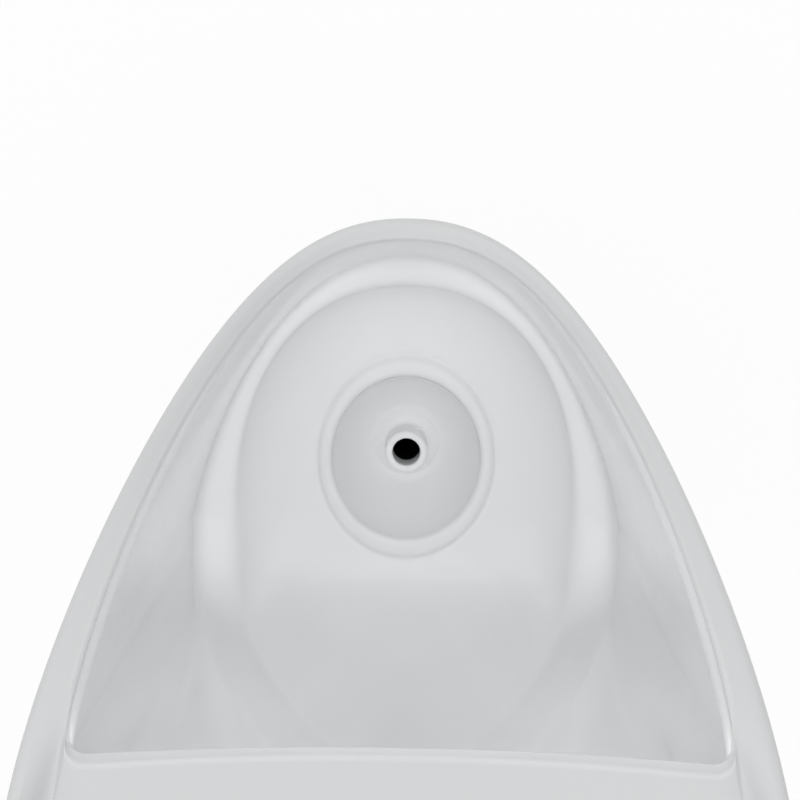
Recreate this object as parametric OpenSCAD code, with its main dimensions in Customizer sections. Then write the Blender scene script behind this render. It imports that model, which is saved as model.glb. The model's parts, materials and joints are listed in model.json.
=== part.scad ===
/* [Overall] */
// Width over the widest part of the rim
body_w = 414; // [400:1:430]
// Depth from the front lip to the wall face
body_d = 380; // [378:1:390]
// Height of the rim at the deck
body_h = 900; // [895:1:930]
// Height of the rim at the front lip
lip_h = 548; // [540:1:560]

/* [Rim] */
// Distance in front of the wall face at which the rim is widest
rim_widest_from_wall = 80; // [70:1:85]
// Distance in front of the wall face at which the rim reaches its full height
rim_level_from_wall = 80; // [70:1:90]
// Radius of the rolled outer edge of the rim
rim_roll = 7; // [6:0.5:8]
// Width of the rim at the front lip
lip_bead_w = 14; // [13:0.5:16]
// Half width of the bowl opening at the deck
opening_half_w = 173.5; // [168:0.5:176]
// Depth of the deck from its front corners to the wall face
deck_depth = 137; // [133:1:140]
// Forward bow of the front edge of the deck
deck_bow = 7; // [0:1:9]
// Depth of the shallow valley beside the bead on the deck
deck_valley = 4; // [1:0.5:5]

/* [Bowl] */
// Distance of the bowl's back wall from the wall face
back_wall_from_wall = 100; // [97:1:102]
// Recess of the niche behind the back wall
niche_recess = 12; // [10:1:13]
// Height of the crease between the walls and the ledge
ledge_z = 458; // [454:1:462]
// Half width of the outer crease of the ledge
ledge_outer_w = 150; // [147:1:151]
// Half width of the inner crease of the ledge
ledge_inner_w = 121.5; // [118:0.5:124]

/* [Drain well] */
// Distance of the drain axis from the wall face
well_from_wall = 193; // [191:1:195]
// Height of the mouth of the drain well
well_z = 421; // [418:1:424]
// Depth of the drain well below its mouth
well_depth = 43; // [40:1:45]
// Half width of the mouth of the drain well
well_half_w = 53; // [51:0.5:54.5]
// Half length of the mouth of the drain well
well_half_l = 58.5; // [57:0.5:60]
// Height of the raised ring round the mouth
ring_h = 3; // [2:0.5:4]

/* [Pedestal] */
// Half width of the pedestal at the floor
foot_half_w = 165; // [163:1:168]
// Distance behind the lip of the front of the pedestal
foot_front_t = 95; // [90:1:100]
// Height below which the pedestal has upright sides
foot_straight_z = 190; // [180:5:195]
// Wall thickness of the ceramic
wall = 11; // [10:0.5:11.5]

/* [Waste and trap] */
// Outer diameter of the standpipe above the well floor
standpipe_d = 30.5; // [29:0.5:31]
// Bore of the standpipe
standpipe_bore = 20; // [18:0.5:21]
// Height of the standpipe above the well floor
standpipe_h = 30; // [24:1:34]
// Outer diameter of the bottle of the trap
bottle_d = 64; // [60:1:68]
// Outer diameter of the drain pipe
drain_d = 40; // [38:0.5:41]
// Distance of the drain outlet from the wall face
drain_from_wall = 85; // [83:1:90]

/* [Flushing] */
// Bore of the inlet socket for the flush pipe
inlet_bore = 32; // [30:0.5:33]
// Distance of the inlet from the wall face
inlet_from_wall = 42; // [41:0.5:44]
// Depth of the flush spreader below the deck
spreader_drop = 110; // [107:1:112]

/* [Fixings] */
// Height of the side fixing screws above the floor
screw_z = 45; // [40:1:60]
// Distance of the side fixing screws from the wall face
screw_from_wall = 50; // [45:1:60]
// Diameter of the floor hole in each bracket
anchor_hole = 9; // [8:0.5:11]
// Width of the neck of each wall keyhole
keyhole_neck = 9; // [8:0.5:10]

/* [Hidden] */

// Colours
ceramic_white = [0.93, 0.94, 0.94];
plastic_white = [0.9, 0.9, 0.88];
plastic_grey = [0.62, 0.64, 0.66];
rubber_black = [0.12, 0.12, 0.13];
chrome_grey = [0.78, 0.79, 0.8];
zinc_grey = [0.66, 0.68, 0.7];

$fn = 64;
eps = 0.01;
lip_y = -body_d / 2;
wall_y = body_d / 2;

// Distances behind the lip
rim_widest_t = body_d - rim_widest_from_wall;
rim_level_t = body_d - rim_level_from_wall;
deck_edge_t = body_d - deck_depth;
back_wall_t = body_d - back_wall_from_wall;
well_t = body_d - well_from_wall;

// Steps along half of a loop: curved front, side, corner and rear
n_front = 16;
n_side = 3;
n_corner = 5;
n_rear = 6;
k_side = n_front + n_side;
k_corner = k_side + n_corner;
k_end = k_corner + n_rear;
steps = [0 : k_end];

function lerp(a, b, s) = a + (b - a) * s;
function ease(s) = let (c = min(1, max(0, s))) c * c * (3 - 2 * c);
function bezier(p0, p1, p2, p3, s) =
    p0 * pow(1 - s, 3) + p1 * (3 * s * pow(1 - s, 2)) + p2 * (3 * s * s * (1 - s)) + p3 * pow(s, 3);

// An outline in plan: front, end of the curved front, widest place, half width,
// roundness along the depth and along the width, back, back corner radius, bow of the back.
// Distances along the depth are measured behind the lip.
function outline(t0, te, tw, b, m, n, tb, rc, bow = 0) = [t0, te, tw, b, m, n, tb, rc, bow];
function half_at(t, o) =
    o[3] * pow(1 - pow(max(0, 1 - (t - o[0]) / (o[2] - o[0])), o[4]), 1 / o[5]);
function bowed(x, t, o, s) = [x, t - o[8] * (1 - pow(x / s, 2))];
function front_point(k, o) = let (t = lerp(o[0], o[1], pow(k / n_front, 2))) [half_at(t, o), t];
function plan(k, o) =
    let (back_side_t = o[6] - o[7], s = half_at(back_side_t, o))
    k <= n_front ? front_point(k, o)
    : k <= k_side ? let (t = lerp(o[1], back_side_t, (k - n_front) / n_side)) [half_at(t, o), t]
    : k <= k_corner ? let (q = 90 * (k - k_side) / n_corner)
        bowed(s - o[7] + o[7] * cos(q), back_side_t + o[7] * sin(q), o, s)
    : bowed((s - o[7]) * (1 - (k - k_corner) / n_rear), o[6], o, s);

// Height of the rim at a distance behind the lip, and the same height carried
// inward so that the rim stays level across its width
rim_sweep = 1.4;
function rim_z(t) =
    let (q = min(1, max(0, t / rim_level_t)))
    lip_h + (body_h - lip_h) * pow(1 - pow(1 - q, 2), rim_sweep);
function rim_z_on(t, o) = rim_z(t < o[1] ? o[1] * (t - o[0]) / (o[1] - o[0]) : t);

// Roundness of the outlines along the depth and along the width
rim_round = 1.5;
opening_round = 1.48;
foot_round = 1.9;
side_round = 2.15;
foot_side_round = 2.3;
outer_front_t = deck_edge_t - 28;
inner_front_t = deck_edge_t - 38;
foot_side_lead = 60;
foot_front_end_t = rim_widest_t - foot_side_lead;
foot_widest_t = rim_widest_t - 10;
back_corner_r = 15;
function rim_inset(d) =
    outline(d, outer_front_t, rim_widest_t, body_w / 2 - d, rim_round, side_round,
        body_d - d, back_corner_r - d * corner_shrink);
function foot_inset(d) =
    outline(foot_front_t + d, foot_front_end_t, foot_widest_t, foot_half_w - d, foot_round,
        foot_side_round, body_d - d, back_corner_r - d * corner_shrink);
opening_r = 10;
corner_shrink = 0.8;
function opening_grown(d) =
    outline(lip_bead_w - d, inner_front_t, deck_edge_t - opening_r, opening_half_w + d,
        opening_round, side_round, deck_edge_t + d, opening_r, deck_bow);
rim_o = rim_inset(0);
opening_o = opening_grown(0);

// Shallow valley beside the bead along the sides of the deck
valley_start = 10;
valley_floor = 28;
valley_end = 48;
valley_rebound = 0.4;
deck_fade_t = outer_front_t;
deck_fade = 25;
function side_gap(p) = half_at(p[1], rim_o) - abs(p[0]);
function deck_dip(p) =
    let (g = side_gap(p))
    ease((p[1] - deck_fade_t) / deck_fade) * deck_valley
    * (ease((g - valley_start) / (valley_floor - valley_start))
        - valley_rebound * ease((g - valley_floor) / (valley_end - valley_floor)));
function at_top(p, o, drop = 0) = [p[0], p[1], rim_z_on(p[1], o) - deck_dip(p) - drop];

// Outside wall: an S-curve from the rim outline down to the pedestal outline
n_wall = 7;
function flare(s) = s + s * s - s * s * s;
function roll_z(k) = rim_z_on(plan(k, rim_o)[1], rim_o) - rim_roll;
function outer_at(k, z, d) =
    let (s = min(1, max(0, (roll_z(k) - z) / (roll_z(k) - foot_straight_z))),
        p = lerp(plan(k, rim_inset(d)), plan(k, foot_inset(d)), flare(s)))
    [p[0], p[1], z];
function wall_loop(j) = [for (k = steps) outer_at(k, lerp(foot_straight_z, roll_z(k), j / n_wall), 0)];

// Rim: outer roll, level land and inner edge
edge_roll = 4;
function roll_loop(q) = [for (k = steps)
    let (o = rim_inset(rim_roll * (1 - cos(q)))) at_top(plan(k, o), o, rim_roll * (1 - sin(q)))];
function land_loop(s) = [for (k = steps)
    let (a = rim_inset(rim_roll), b = opening_grown(edge_roll),
        p = lerp(plan(k, a), plan(k, b), s),
        z = lerp(rim_z_on(plan(k, a)[1], a), rim_z_on(plan(k, b)[1], b), s))
    [p[0], p[1], z - deck_dip(p)]];
function edge_loop(q) = [for (k = steps)
    let (o = opening_grown(edge_roll * (1 - sin(q)))) at_top(plan(k, o), o, edge_roll * (1 - cos(q)))];

// Inside of the walls, from under the rim and the deck down to the ledge
ceiling_z = body_h - 40;
inner_corner_r = 40;
wall_lean = 2;
wall_start_drop = 26;
edge_drop = 14;
inner_top_o = outline(lip_bead_w + wall_lean, inner_front_t, deck_edge_t, opening_half_w - wall_lean,
    opening_round, side_round, back_wall_t, inner_corner_r);
function rear_share(k) = ease((k - n_front) / n_side);
function under_edge(k, o, drop) =
    let (p = plan(k, o)) [p[0], p[1], lerp(rim_z_on(p[1], o) - drop, ceiling_z, rear_share(k))];
function inner_top(k) = under_edge(k, inner_top_o, wall_start_drop);
function edge_foot(k) = under_edge(k, opening_o, edge_drop);

// Creases of the ledge: round the bowl, then bending up the back wall as an arch.
// A crease's way is measured from the start of its bend, and past its widest place the
// width falls along the way by the arch's two roundness values.
crease_side_lead = 40;
crease_widest_t = back_wall_t - crease_side_lead;
corner_way = 2;
outer_front_run = 38;
outer_front_round = 1.45;
outer_bend = 50;
outer_arch_round = [1.2, 1.8];
inner_front_run = 57;
inner_front_round = 2.5;
inner_bend = 55;
inner_arch_round = [1.35, 1.15];
function bend_len(r) = r * PI / 2;
function widest_way(o, t_wall, r) =
    let (ahead = o[2] - t_wall + r)
    ahead < 0 ? ahead : r * asin(ahead / r) * PI / 180;
function crease_way(k, o, t_wall, r, top_way) =
    let (corner = widest_way(o, t_wall, r) + corner_way)
    k <= k_side ? lerp(o[1] - t_wall + r, corner, (k - n_front) / n_side)
    : k <= k_corner ? lerp(corner, bend_len(r), (k - k_side) / n_corner)
    : lerp(bend_len(r), top_way, sin(90 * (k - k_corner) / n_rear));
function climb_point(o, t_wall, z_low, r, top_way, arch_round, way) =
    let (q = min(90, max(0, way / r) * 180 / PI),
        t = t_wall - r + min(0, way) + r * sin(q),
        z = z_low + r * (1 - cos(q)) + max(0, way - bend_len(r)),
        past = max(0, way - widest_way(o, t_wall, r)) / (top_way - widest_way(o, t_wall, r)))
    [half_at(t, o) * pow(max(0, 1 - pow(past, arch_round[0])), 1 / arch_round[1]), t, z];
function crease(k, o, t_wall, z_low, z_top, r, arch_round) =
    let (top_way = bend_len(r) + z_top - z_low - r)
    k <= n_front ? let (p = front_point(k, o)) [p[0], p[1], z_low]
    : climb_point(o, t_wall, z_low, r, top_way, arch_round, crease_way(k, o, t_wall, r, top_way));
function crease_outline(t0, b, round_t) =
    outline(t0, inner_front_t, crease_widest_t, b, round_t, side_round, 0, 0);
niche_t = back_wall_t + niche_recess;
outer_arch_drop = 8;
outer_arch_top = ceiling_z - outer_arch_drop;
inner_arch_drop = 38;
inner_arch_top = outer_arch_top - inner_arch_drop;
ledge_drop = 8;
outer_o = crease_outline(outer_front_run, ledge_outer_w, outer_front_round);
inner_o = crease_outline(inner_front_run, ledge_inner_w, inner_front_round);
function outer_crease(k) =
    crease(k, outer_o, back_wall_t, ledge_z, outer_arch_top, outer_bend, outer_arch_round);
function inner_crease(k) =
    crease(k, inner_o, niche_t, ledge_z - ledge_drop, inner_arch_top, inner_bend, inner_arch_round);

// Bowl floor, from the ledge down to the groove round the raised ring
ring_w = 10.5;
ring_l = 15;
ring_crest = 0.45;
mouth_rise = 8;
n_bowl = 8;
scoop_steep = 0.5;
under_steep = 0.3;
scoop_lean = 0.06;
scoop_flat = 0.5;
scoop_wall_flat = 1.1;
scoop_rise = 62;
dish = 16;
groove_h = 2;
low_drop = 30;
high_drop = 230;
function round_angle(k) = let (p = inner_crease(k)) atan2(p[0], well_t - p[1]);
function oval(q, w, l, z) = [w * sin(q), well_t - l * cos(q), z];
function mouth_z(q) = well_z + mouth_rise * (1 - cos(q)) / 2;
function mouth(k, grow, dz) =
    let (q = round_angle(k))
    oval(q, well_half_w + ring_w * grow, well_half_l + ring_l * grow, mouth_z(q) + dz);
function flat_out(a, b) = [a[0] - b[0], a[1] - b[1], 0];
function scoop(a, g, steep, s) =
    let (drop = a[2] - g[2], f = flat_out(a, g),
        high = ease((drop - low_drop) / (high_drop - low_drop)),
        rise = scoop_rise * (1 - exp(-drop * (1 - steep) / scoop_rise)),
        out = f * (dish * high / norm(f) - scoop_lean))
    bezier(a, [a[0], a[1], g[2] + rise] + out,
        g + f * lerp(scoop_flat, scoop_wall_flat, high) + [0, 0, groove_h], g, s);
function bowl(k, s) = scoop(inner_crease(k), mouth(k, 1, 0), scoop_steep, s);

// Drain well inside the ring
n_well = 4;
well_floor_z = well_z - well_depth;
floor_half_w = 29;
floor_half_l = 34;
well_lean = 0.15;
well_flat = 0.35;
function well_side(k, s) =
    let (q = round_angle(k), top = mouth(k, 0, -groove_h),
        foot = oval(q, floor_half_w, floor_half_l, well_floor_z))
    bezier(top, top - [0, 0, well_depth / 2] - flat_out(top, foot) * well_lean,
        foot + flat_out(top, foot) * well_flat + [0, 0, 2 * groove_h], foot, s);

// Hollow inside the pedestal and behind the back wall
deck_thick = 22;
hollow_low_z = ledge_z - 30;
hollow_top_z = body_h - deck_thick;
hollow_fillet = 0.25;
hollow_corner_r = 6;
hollow_run = 8;
hollow_spread = 0.15;
hollow_widen = 0.055;
hollow_narrow = 4;
hollow_spring = 38;
hollow_arch_round = [1.3, 2];
skin_run = 4;
n_under = 6;
function hollow_outer(k) = outer_at(k, k < k_side ? hollow_low_z : hollow_top_z, wall);
behind_o = outline(lip_bead_w, inner_front_t, deck_edge_t, opening_half_w + wall - 1,
    opening_round, side_round, back_wall_t + wall, hollow_corner_r);
function under_outer(k) =
    let (o = crease_outline(outer_front_run + wall, ledge_outer_w - skin_run, outer_front_round),
        t_wall = back_wall_t + wall, z_low = ledge_z - wall - skin_run,
        side = min(1, max(0, (k - n_front) / n_side)), v = min(1, max(0, (k - k_side) / n_corner)),
        w = min(1, max(0, (k - k_corner) / n_rear)),
        t = k <= n_front ? front_point(k, o)[1]
            : k <= k_side ? lerp(o[1], t_wall - hollow_run, pow(side, hollow_spread))
            : t_wall - hollow_run * (1 - sin(90 * v)),
        x = (half_at(t, o) - hollow_narrow * v * v) * pow(cos(90 * w), 2 / hollow_arch_round[1]))
    [x * (1 + hollow_widen * ease((k - n_front) / (n_side - 1))), t,
        lerp(z_low + hollow_spring * v * v, outer_arch_top + skin_run,
            pow(sin(90 * w), 2 / hollow_arch_round[0]))];
function under_inner(k) =
    crease(k, crease_outline(inner_front_run - skin_run, ledge_inner_w + skin_run, inner_front_round),
        niche_t + wall, ledge_z - ledge_drop - wall - skin_run, inner_arch_top - skin_run,
        inner_bend + wall, inner_arch_round);
function hollow_inner(k, s) =
    let (a = hollow_outer(k), u = under_outer(k), b = plan(k, behind_o),
        start = k < k_side ? lerp(a, u, hollow_fillet) : [b[0], b[1], hollow_top_z])
    lerp(start, u, s);
function under_bowl(k, s) =
    let (q = round_angle(k),
        g = oval(q, well_half_w + ring_w + skin_run, well_half_l + ring_l + skin_run,
            mouth_z(q) - wall - groove_h))
    scoop(under_inner(k), g, under_steep, s);
function under_well(k, w, l, z) = oval(round_angle(k), w, l, z);

// Every loop of the ceramic skin, from the well floor outward over the rim, down
// the outside, and back up the hollow to the underside of the well
function ceramic_loops() = concat(
    [for (j = [n_well : -1 : 0]) [for (k = steps) well_side(k, j / n_well)]],
    [[for (k = steps) mouth(k, ring_crest, ring_h)]],
    [for (j = [n_bowl : -1 : 0]) [for (k = steps) bowl(k, j / n_bowl)]],
    [for (s = [1 : -0.25 : 0]) [for (k = steps) lerp(inner_top(k), outer_crease(k), s)]],
    [[for (k = steps) edge_foot(k)]],
    [for (q = [90, 45, 0]) edge_loop(q)],
    [for (s = [0.75, 0.5, 0.25]) land_loop(s)],
    [for (q = [90, 45, 0]) roll_loop(q)],
    [for (j = [n_wall - 1 : -1 : 0]) wall_loop(j)],
    [[for (k = steps) outer_at(k, 0, 0)]],
    [for (z = [0, foot_straight_z, (foot_straight_z + hollow_low_z) / 2])
        [for (k = steps) outer_at(k, z, wall)]],
    [[for (k = steps) hollow_outer(k)]],
    [for (s = [0, 0.5, 1]) [for (k = steps) hollow_inner(k, s)]],
    [for (j = [0 : n_under]) [for (k = steps) under_bowl(k, j / n_under)]],
    [[for (k = steps) under_well(k, well_half_w + skin_run, well_half_l + skin_run, well_floor_z + wall)]],
    [[for (k = steps) under_well(k, floor_half_w + wall, floor_half_l + wall, well_floor_z - wall)]]);

// A closed skin through mirrored half loops, capped at the axis at both ends
function mirrored(half) =
    concat(half, [for (k = [k_end - 1 : -1 : 1]) [-half[k][0], half[k][1], half[k][2]]]);
module lofted(loops, first_cap, last_cap) {
    rings = [for (l = loops) mirrored(l)];
    n = len(rings[0]);
    m = len(rings);
    band = [for (i = [0 : m - 2]) for (j = [0 : n - 1]) let (a = i * n + j, b = i * n + (j + 1) % n)
        each [[a, b, b + n], [a, b + n, a + n]]];
    first = [for (j = [0 : n - 1]) [m * n, (j + 1) % n, j]];
    last = [for (j = [0 : n - 1]) [m * n + 1, (m - 1) * n + j, (m - 1) * n + (j + 1) % n]];
    polyhedron(points = concat([for (r = rings) each r], [first_cap, last_cap]),
        faces = concat(band, first, last));
}

// Plain ring and hexagon along +Z, and the moves that turn and mirror them
module ring(od, id, h) {
    difference() {
        cylinder(d = od, h = h);
        translate([0, 0, -1])
            cylinder(d = id, h = h + 2);
    }
}
module hex(af, h) {
    cylinder(d = af / cos(30), h = h, $fn = 6);
}
module toward_wall(y, z) {
    translate([0, y, z])
        rotate([-90, 0, 0])
            children();
}
module both_sides() {
    for (side = [-1, 1])
        scale([side, 1, 1])
            children();
}

// Places of the pipework
spreader_z = body_h - spreader_drop;
waste_y = wall_y - well_from_wall;
thread_gap = 0.15;
shank_d = 31.8;
flange_d = 40;
seal_h = 2;
flange_h = 2.5;
shank_len = 60;
shank_foot_z = well_floor_z - shank_len;
under_floor_z = well_floor_z - wall;
waste_washer_h = 4;
waste_washer_d = 50;
backnut_h = 15;
backnut_af = 46;
backnut_flange_d = 56;
backnut_flange_h = 4;
coupling_washer_h = 3;
shank_bore = 24;
shank_bore_h = 40;
top_round = 2;

module standpipe_solid() {
    translate([0, 0, shank_foot_z])
        cylinder(d = shank_d, h = well_floor_z + seal_h - shank_foot_z);
    translate([0, 0, well_floor_z + seal_h])
        cylinder(d = flange_d, h = flange_h);
    translate([0, 0, well_floor_z])
        rotate_extrude()
            polygon([[0, seal_h], [standpipe_d / 2, seal_h], [standpipe_d / 2, standpipe_h - top_round],
                [standpipe_d / 2 - 0.3 * top_round, standpipe_h - 0.3 * top_round],
                [standpipe_d / 2 - top_round, standpipe_h],
                [standpipe_bore / 2, standpipe_h], [0, standpipe_h]]);
}
module waste_standpipe() {
    color(plastic_white)
        translate([0, waste_y, 0])
            difference() {
                standpipe_solid();
                translate([0, 0, shank_foot_z - 1])
                    cylinder(d = standpipe_bore, h = well_floor_z + standpipe_h - shank_foot_z + 2);
                translate([0, 0, shank_foot_z - 1])
                    cylinder(d = shank_bore, h = shank_bore_h + 1);
            }
}
module waste_seal() {
    color(rubber_black)
        translate([0, waste_y, well_floor_z])
            ring(flange_d, shank_d + 2 * thread_gap, seal_h);
}
module waste_washer() {
    color(rubber_black)
        translate([0, waste_y, under_floor_z - waste_washer_h])
            ring(waste_washer_d, shank_d + 2 * thread_gap, waste_washer_h);
}
module waste_backnut() {
    color(plastic_grey)
        translate([0, waste_y, under_floor_z - waste_washer_h - backnut_h])
            difference() {
                union() {
                    hex(backnut_af, backnut_h);
                    translate([0, 0, backnut_h - backnut_flange_h])
                        cylinder(d = backnut_flange_d, h = backnut_flange_h);
                }
                translate([0, 0, -1])
                    cylinder(d = shank_d + 2 * thread_gap, h = backnut_h + 2);
            }
}

// A coupling nut round a threaded end. Z = 0 is the face of the threaded end and
// the flanged neck lies below it.
neck_flange_d = 38;
neck_flange_h = 8;
coupling_h = 14;
coupling_lip = 4;
coupling_af = 48;
module coupling_nut(thread_d, neck_d, af) {
    foot = -coupling_washer_h - neck_flange_h - coupling_lip;
    difference() {
        translate([0, 0, foot])
            hex(af, coupling_h - foot);
        translate([0, 0, -eps])
            cylinder(d = thread_d + 2 * thread_gap, h = coupling_h + 1);
        translate([0, 0, foot + coupling_lip])
            cylinder(d = max(thread_d, neck_flange_d) + 1, h = -foot - coupling_lip);
        translate([0, 0, foot - 1])
            cylinder(d = neck_d + 1, h = coupling_lip + 2);
    }
}

// Bottle trap on the waste axis
neck_d = 32;
neck_wall = 3;
neck_h = 32;
bottle_h = 118;
dip_clear = 24;
outlet_drop = 32;
outlet_run = 32;
shoulder = 6;
neck_top_z = shank_foot_z - coupling_washer_h;
bottle_top_z = neck_top_z - neck_h;
bottle_foot_z = bottle_top_z - bottle_h;
bottle_wall = 3;
dip_foot_z = bottle_foot_z + dip_clear;
outlet_z = bottle_top_z - outlet_drop;
outlet_face_y = waste_y + bottle_d / 2 + outlet_run;
module trap_shell() {
    translate([0, 0, bottle_foot_z])
        cylinder(d = bottle_d, h = bottle_h - shoulder);
    translate([0, 0, bottle_top_z - shoulder])
        cylinder(d1 = bottle_d, d2 = bottle_d - 2 * shoulder, h = shoulder);
    translate([0, 0, bottle_top_z - 1])
        cylinder(d = neck_d, h = neck_top_z - bottle_top_z + 1);
    translate([0, 0, neck_top_z - neck_flange_h])
        cylinder(d = neck_flange_d, h = neck_flange_h);
    toward_wall(0, outlet_z)
        cylinder(d = drain_d, h = outlet_face_y - waste_y);
}
module trap_body() {
    color(plastic_white)
        translate([0, waste_y, 0])
            union() {
                difference() {
                    trap_shell();
                    translate([0, 0, bottle_foot_z - 1])
                        cylinder(d = bottle_d - 2 * bottle_wall, h = bottle_h - shoulder + 1 - bottle_wall);
                    toward_wall(bottle_d / 4, outlet_z)
                        cylinder(d = drain_d - 2 * neck_wall, h = bottle_d / 4 + outlet_run + 1);
                    translate([0, 0, bottle_foot_z])
                        cylinder(d = neck_d - 2 * neck_wall, h = bottle_h + neck_h + 1);
                }
                translate([0, 0, dip_foot_z])
                    ring(neck_d, neck_d - 2 * neck_wall, bottle_top_z - dip_foot_z - bottle_wall);
            }
}
module trap_inlet_nut() {
    color(plastic_grey)
        translate([0, waste_y, shank_foot_z])
            coupling_nut(shank_d, neck_d, coupling_af);
}
module trap_inlet_washer() {
    color(rubber_black)
        translate([0, waste_y, neck_top_z])
            ring(neck_flange_d, neck_d - 2 * neck_wall, coupling_washer_h);
}
cup_seal_h = 3;
cup_wall = 5;
cup_d = bottle_d + 2 * cup_wall;
cup_seat_z = bottle_foot_z - cup_seal_h;
cup_h = 46;
cup_depth = 16;
cup_floor = 4;
cup_rib = 4;
module trap_cup_seal() {
    color(rubber_black)
        translate([0, waste_y, cup_seat_z])
            ring(bottle_d, bottle_d - 2 * bottle_wall, cup_seal_h);
}
module trap_cup() {
    rib_count = 12;
    foot = cup_seat_z - cup_depth;
    color(plastic_grey)
        translate([0, waste_y, 0])
            difference() {
                union() {
                    translate([0, 0, foot])
                        cylinder(d = cup_d, h = cup_h);
                    for (i = [0 : rib_count - 1])
                        rotate([0, 0, i * 360 / rib_count])
                            translate([cup_d / 2 - 1, -cup_rib / 2, foot])
                                cube([cup_rib, cup_rib, cup_h - cup_rib]);
                }
                translate([0, 0, cup_seat_z])
                    cylinder(d = bottle_d + 2 * thread_gap, h = cup_h);
                translate([0, 0, foot + cup_floor])
                    cylinder(d = bottle_d - 2 * bottle_wall, h = cup_h);
            }
}

// Outlet: coupling, swept bend and the rubber cone in the floor socket
drain_y = wall_y - drain_from_wall;
drain_wall = 2.5;
bend_r = 32;
bend_start_y = drain_y - bend_r;
bend_face_y = outlet_face_y + coupling_washer_h;
drain_foot_z = 2;
bend_flange_h = 5;
bend_flange_w = 3.5;
outlet_nut_h = 13;
outlet_nut_lip = 4;
outlet_nut_wall = 7;
module trap_outlet_washer() {
    color(rubber_black)
        toward_wall(outlet_face_y, outlet_z)
            ring(drain_d, drain_d - 2 * neck_wall, coupling_washer_h);
}
module trap_outlet_nut() {
    tail = coupling_washer_h + bend_flange_h;
    color(plastic_grey)
        toward_wall(outlet_face_y, outlet_z)
            difference() {
                translate([0, 0, -outlet_nut_h])
                    hex(drain_d + 2 * outlet_nut_wall, outlet_nut_h + tail + outlet_nut_lip);
                translate([0, 0, -outlet_nut_h - 1])
                    cylinder(d = drain_d + 2 * thread_gap, h = outlet_nut_h + 1 + eps);
                cylinder(d = drain_d + 2 * bend_flange_w + 1, h = tail);
                cylinder(d = drain_d + 1, h = tail + outlet_nut_lip + 1);
            }
}
module drain_sweep(d) {
    translate([0, bend_start_y, outlet_z - bend_r])
        rotate([90, 0, 90])
            rotate_extrude(angle = 90)
                translate([bend_r, 0])
                    circle(d = d);
}
module outlet_bend() {
    bore = drain_d - 2 * drain_wall;
    flange = drain_d + 2 * bend_flange_w;
    color(plastic_white)
        difference() {
            union() {
                drain_sweep(drain_d);
                toward_wall(bend_face_y, outlet_z)
                    cylinder(d = drain_d, h = bend_start_y - bend_face_y);
                toward_wall(bend_face_y, outlet_z)
                    cylinder(d = flange, h = bend_flange_h);
                translate([0, drain_y, drain_foot_z])
                    cylinder(d = drain_d, h = outlet_z - bend_r - drain_foot_z);
            }
            drain_sweep(bore);
            toward_wall(bend_face_y - 1, outlet_z)
                cylinder(d = bore, h = bend_start_y - bend_face_y + 1);
            translate([0, drain_y, drain_foot_z - 1])
                cylinder(d = bore, h = outlet_z - bend_r - drain_foot_z + 1);
        }
}
module floor_socket_seal() {
    seal_top = 24;
    seal_top_w = 4;
    seal_foot_w = 11;
    seal_brim_w = 15;
    seal_brim_h = 4;
    color(rubber_black)
        translate([0, drain_y, 0])
            difference() {
                union() {
                    cylinder(d1 = drain_d + 2 * seal_foot_w, d2 = drain_d + 2 * seal_top_w, h = seal_top);
                    cylinder(d = drain_d + 2 * seal_brim_w, h = seal_brim_h);
                }
                translate([0, 0, -1])
                    cylinder(d = drain_d + 2 * thread_gap, h = seal_top + 2);
            }
}

// Flush spreader through the top of the niche
spreader_shank_d = 21.8;
spreader_bore = 14;
spreader_flange_d = 36;
spot_depth = 2.5;
back_spot_depth = 2;
niche_seat_y = lip_y + niche_t + spot_depth;
niche_back_y = lip_y + niche_t + wall - back_spot_depth;
gasket_h = 2;
spreader_flange_h = 3;
spreader_washer_h = 2.5;
spreader_nut_h = 8;
spreader_nut_af = 30;
spreader_dome_h = 5.5;
spreader_dome_d = 26;
spreader_nose_d = 16;
spray_slot_w = 2;
spray_slot_turn = 22;
tail_d = 20;
tail_grip = 13;
spreader_front_y = niche_seat_y - gasket_h;
spreader_tail_y = niche_back_y + spreader_washer_h + spreader_nut_h;
inlet_y = wall_y - inlet_from_wall;
module flush_spreader() {
    slot_count = 7;
    bore_h = spreader_tail_y + tail_grip - spreader_front_y + spreader_flange_h + 2;
    color(chrome_grey)
        difference() {
            union() {
                toward_wall(spreader_front_y - spreader_flange_h, spreader_z)
                    cylinder(d = spreader_flange_d, h = spreader_flange_h);
                toward_wall(spreader_front_y - spreader_flange_h - spreader_dome_h, spreader_z)
                    cylinder(d1 = spreader_nose_d, d2 = spreader_dome_d, h = spreader_dome_h);
                toward_wall(spreader_front_y, spreader_z)
                    cylinder(d = spreader_shank_d, h = spreader_tail_y - spreader_front_y);
                toward_wall(spreader_tail_y, spreader_z)
                    cylinder(d = tail_d, h = tail_grip);
            }
            toward_wall(spreader_front_y - spreader_flange_h - 1, spreader_z)
                cylinder(d = spreader_bore, h = bore_h);
            for (i = [0 : slot_count - 1])
                translate([0, spreader_front_y - spreader_flange_h - spreader_dome_h / 2, spreader_z])
                    rotate([0, 90 + (i - (slot_count - 1) / 2) * spray_slot_turn, 0])
                        translate([0, -spray_slot_w / 2, -spray_slot_w / 2])
                            cube([spreader_dome_d / 2 + 1, spray_slot_w, spray_slot_w]);
        }
}
module spreader_gasket() {
    color(rubber_black)
        toward_wall(spreader_front_y, spreader_z)
            ring(spreader_flange_d - 2, spreader_shank_d + 2 * thread_gap, gasket_h);
}
module spreader_washer() {
    color(rubber_black)
        toward_wall(niche_back_y, spreader_z)
            ring(spreader_flange_d - 2, spreader_shank_d + 2 * thread_gap, spreader_washer_h);
}
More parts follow.
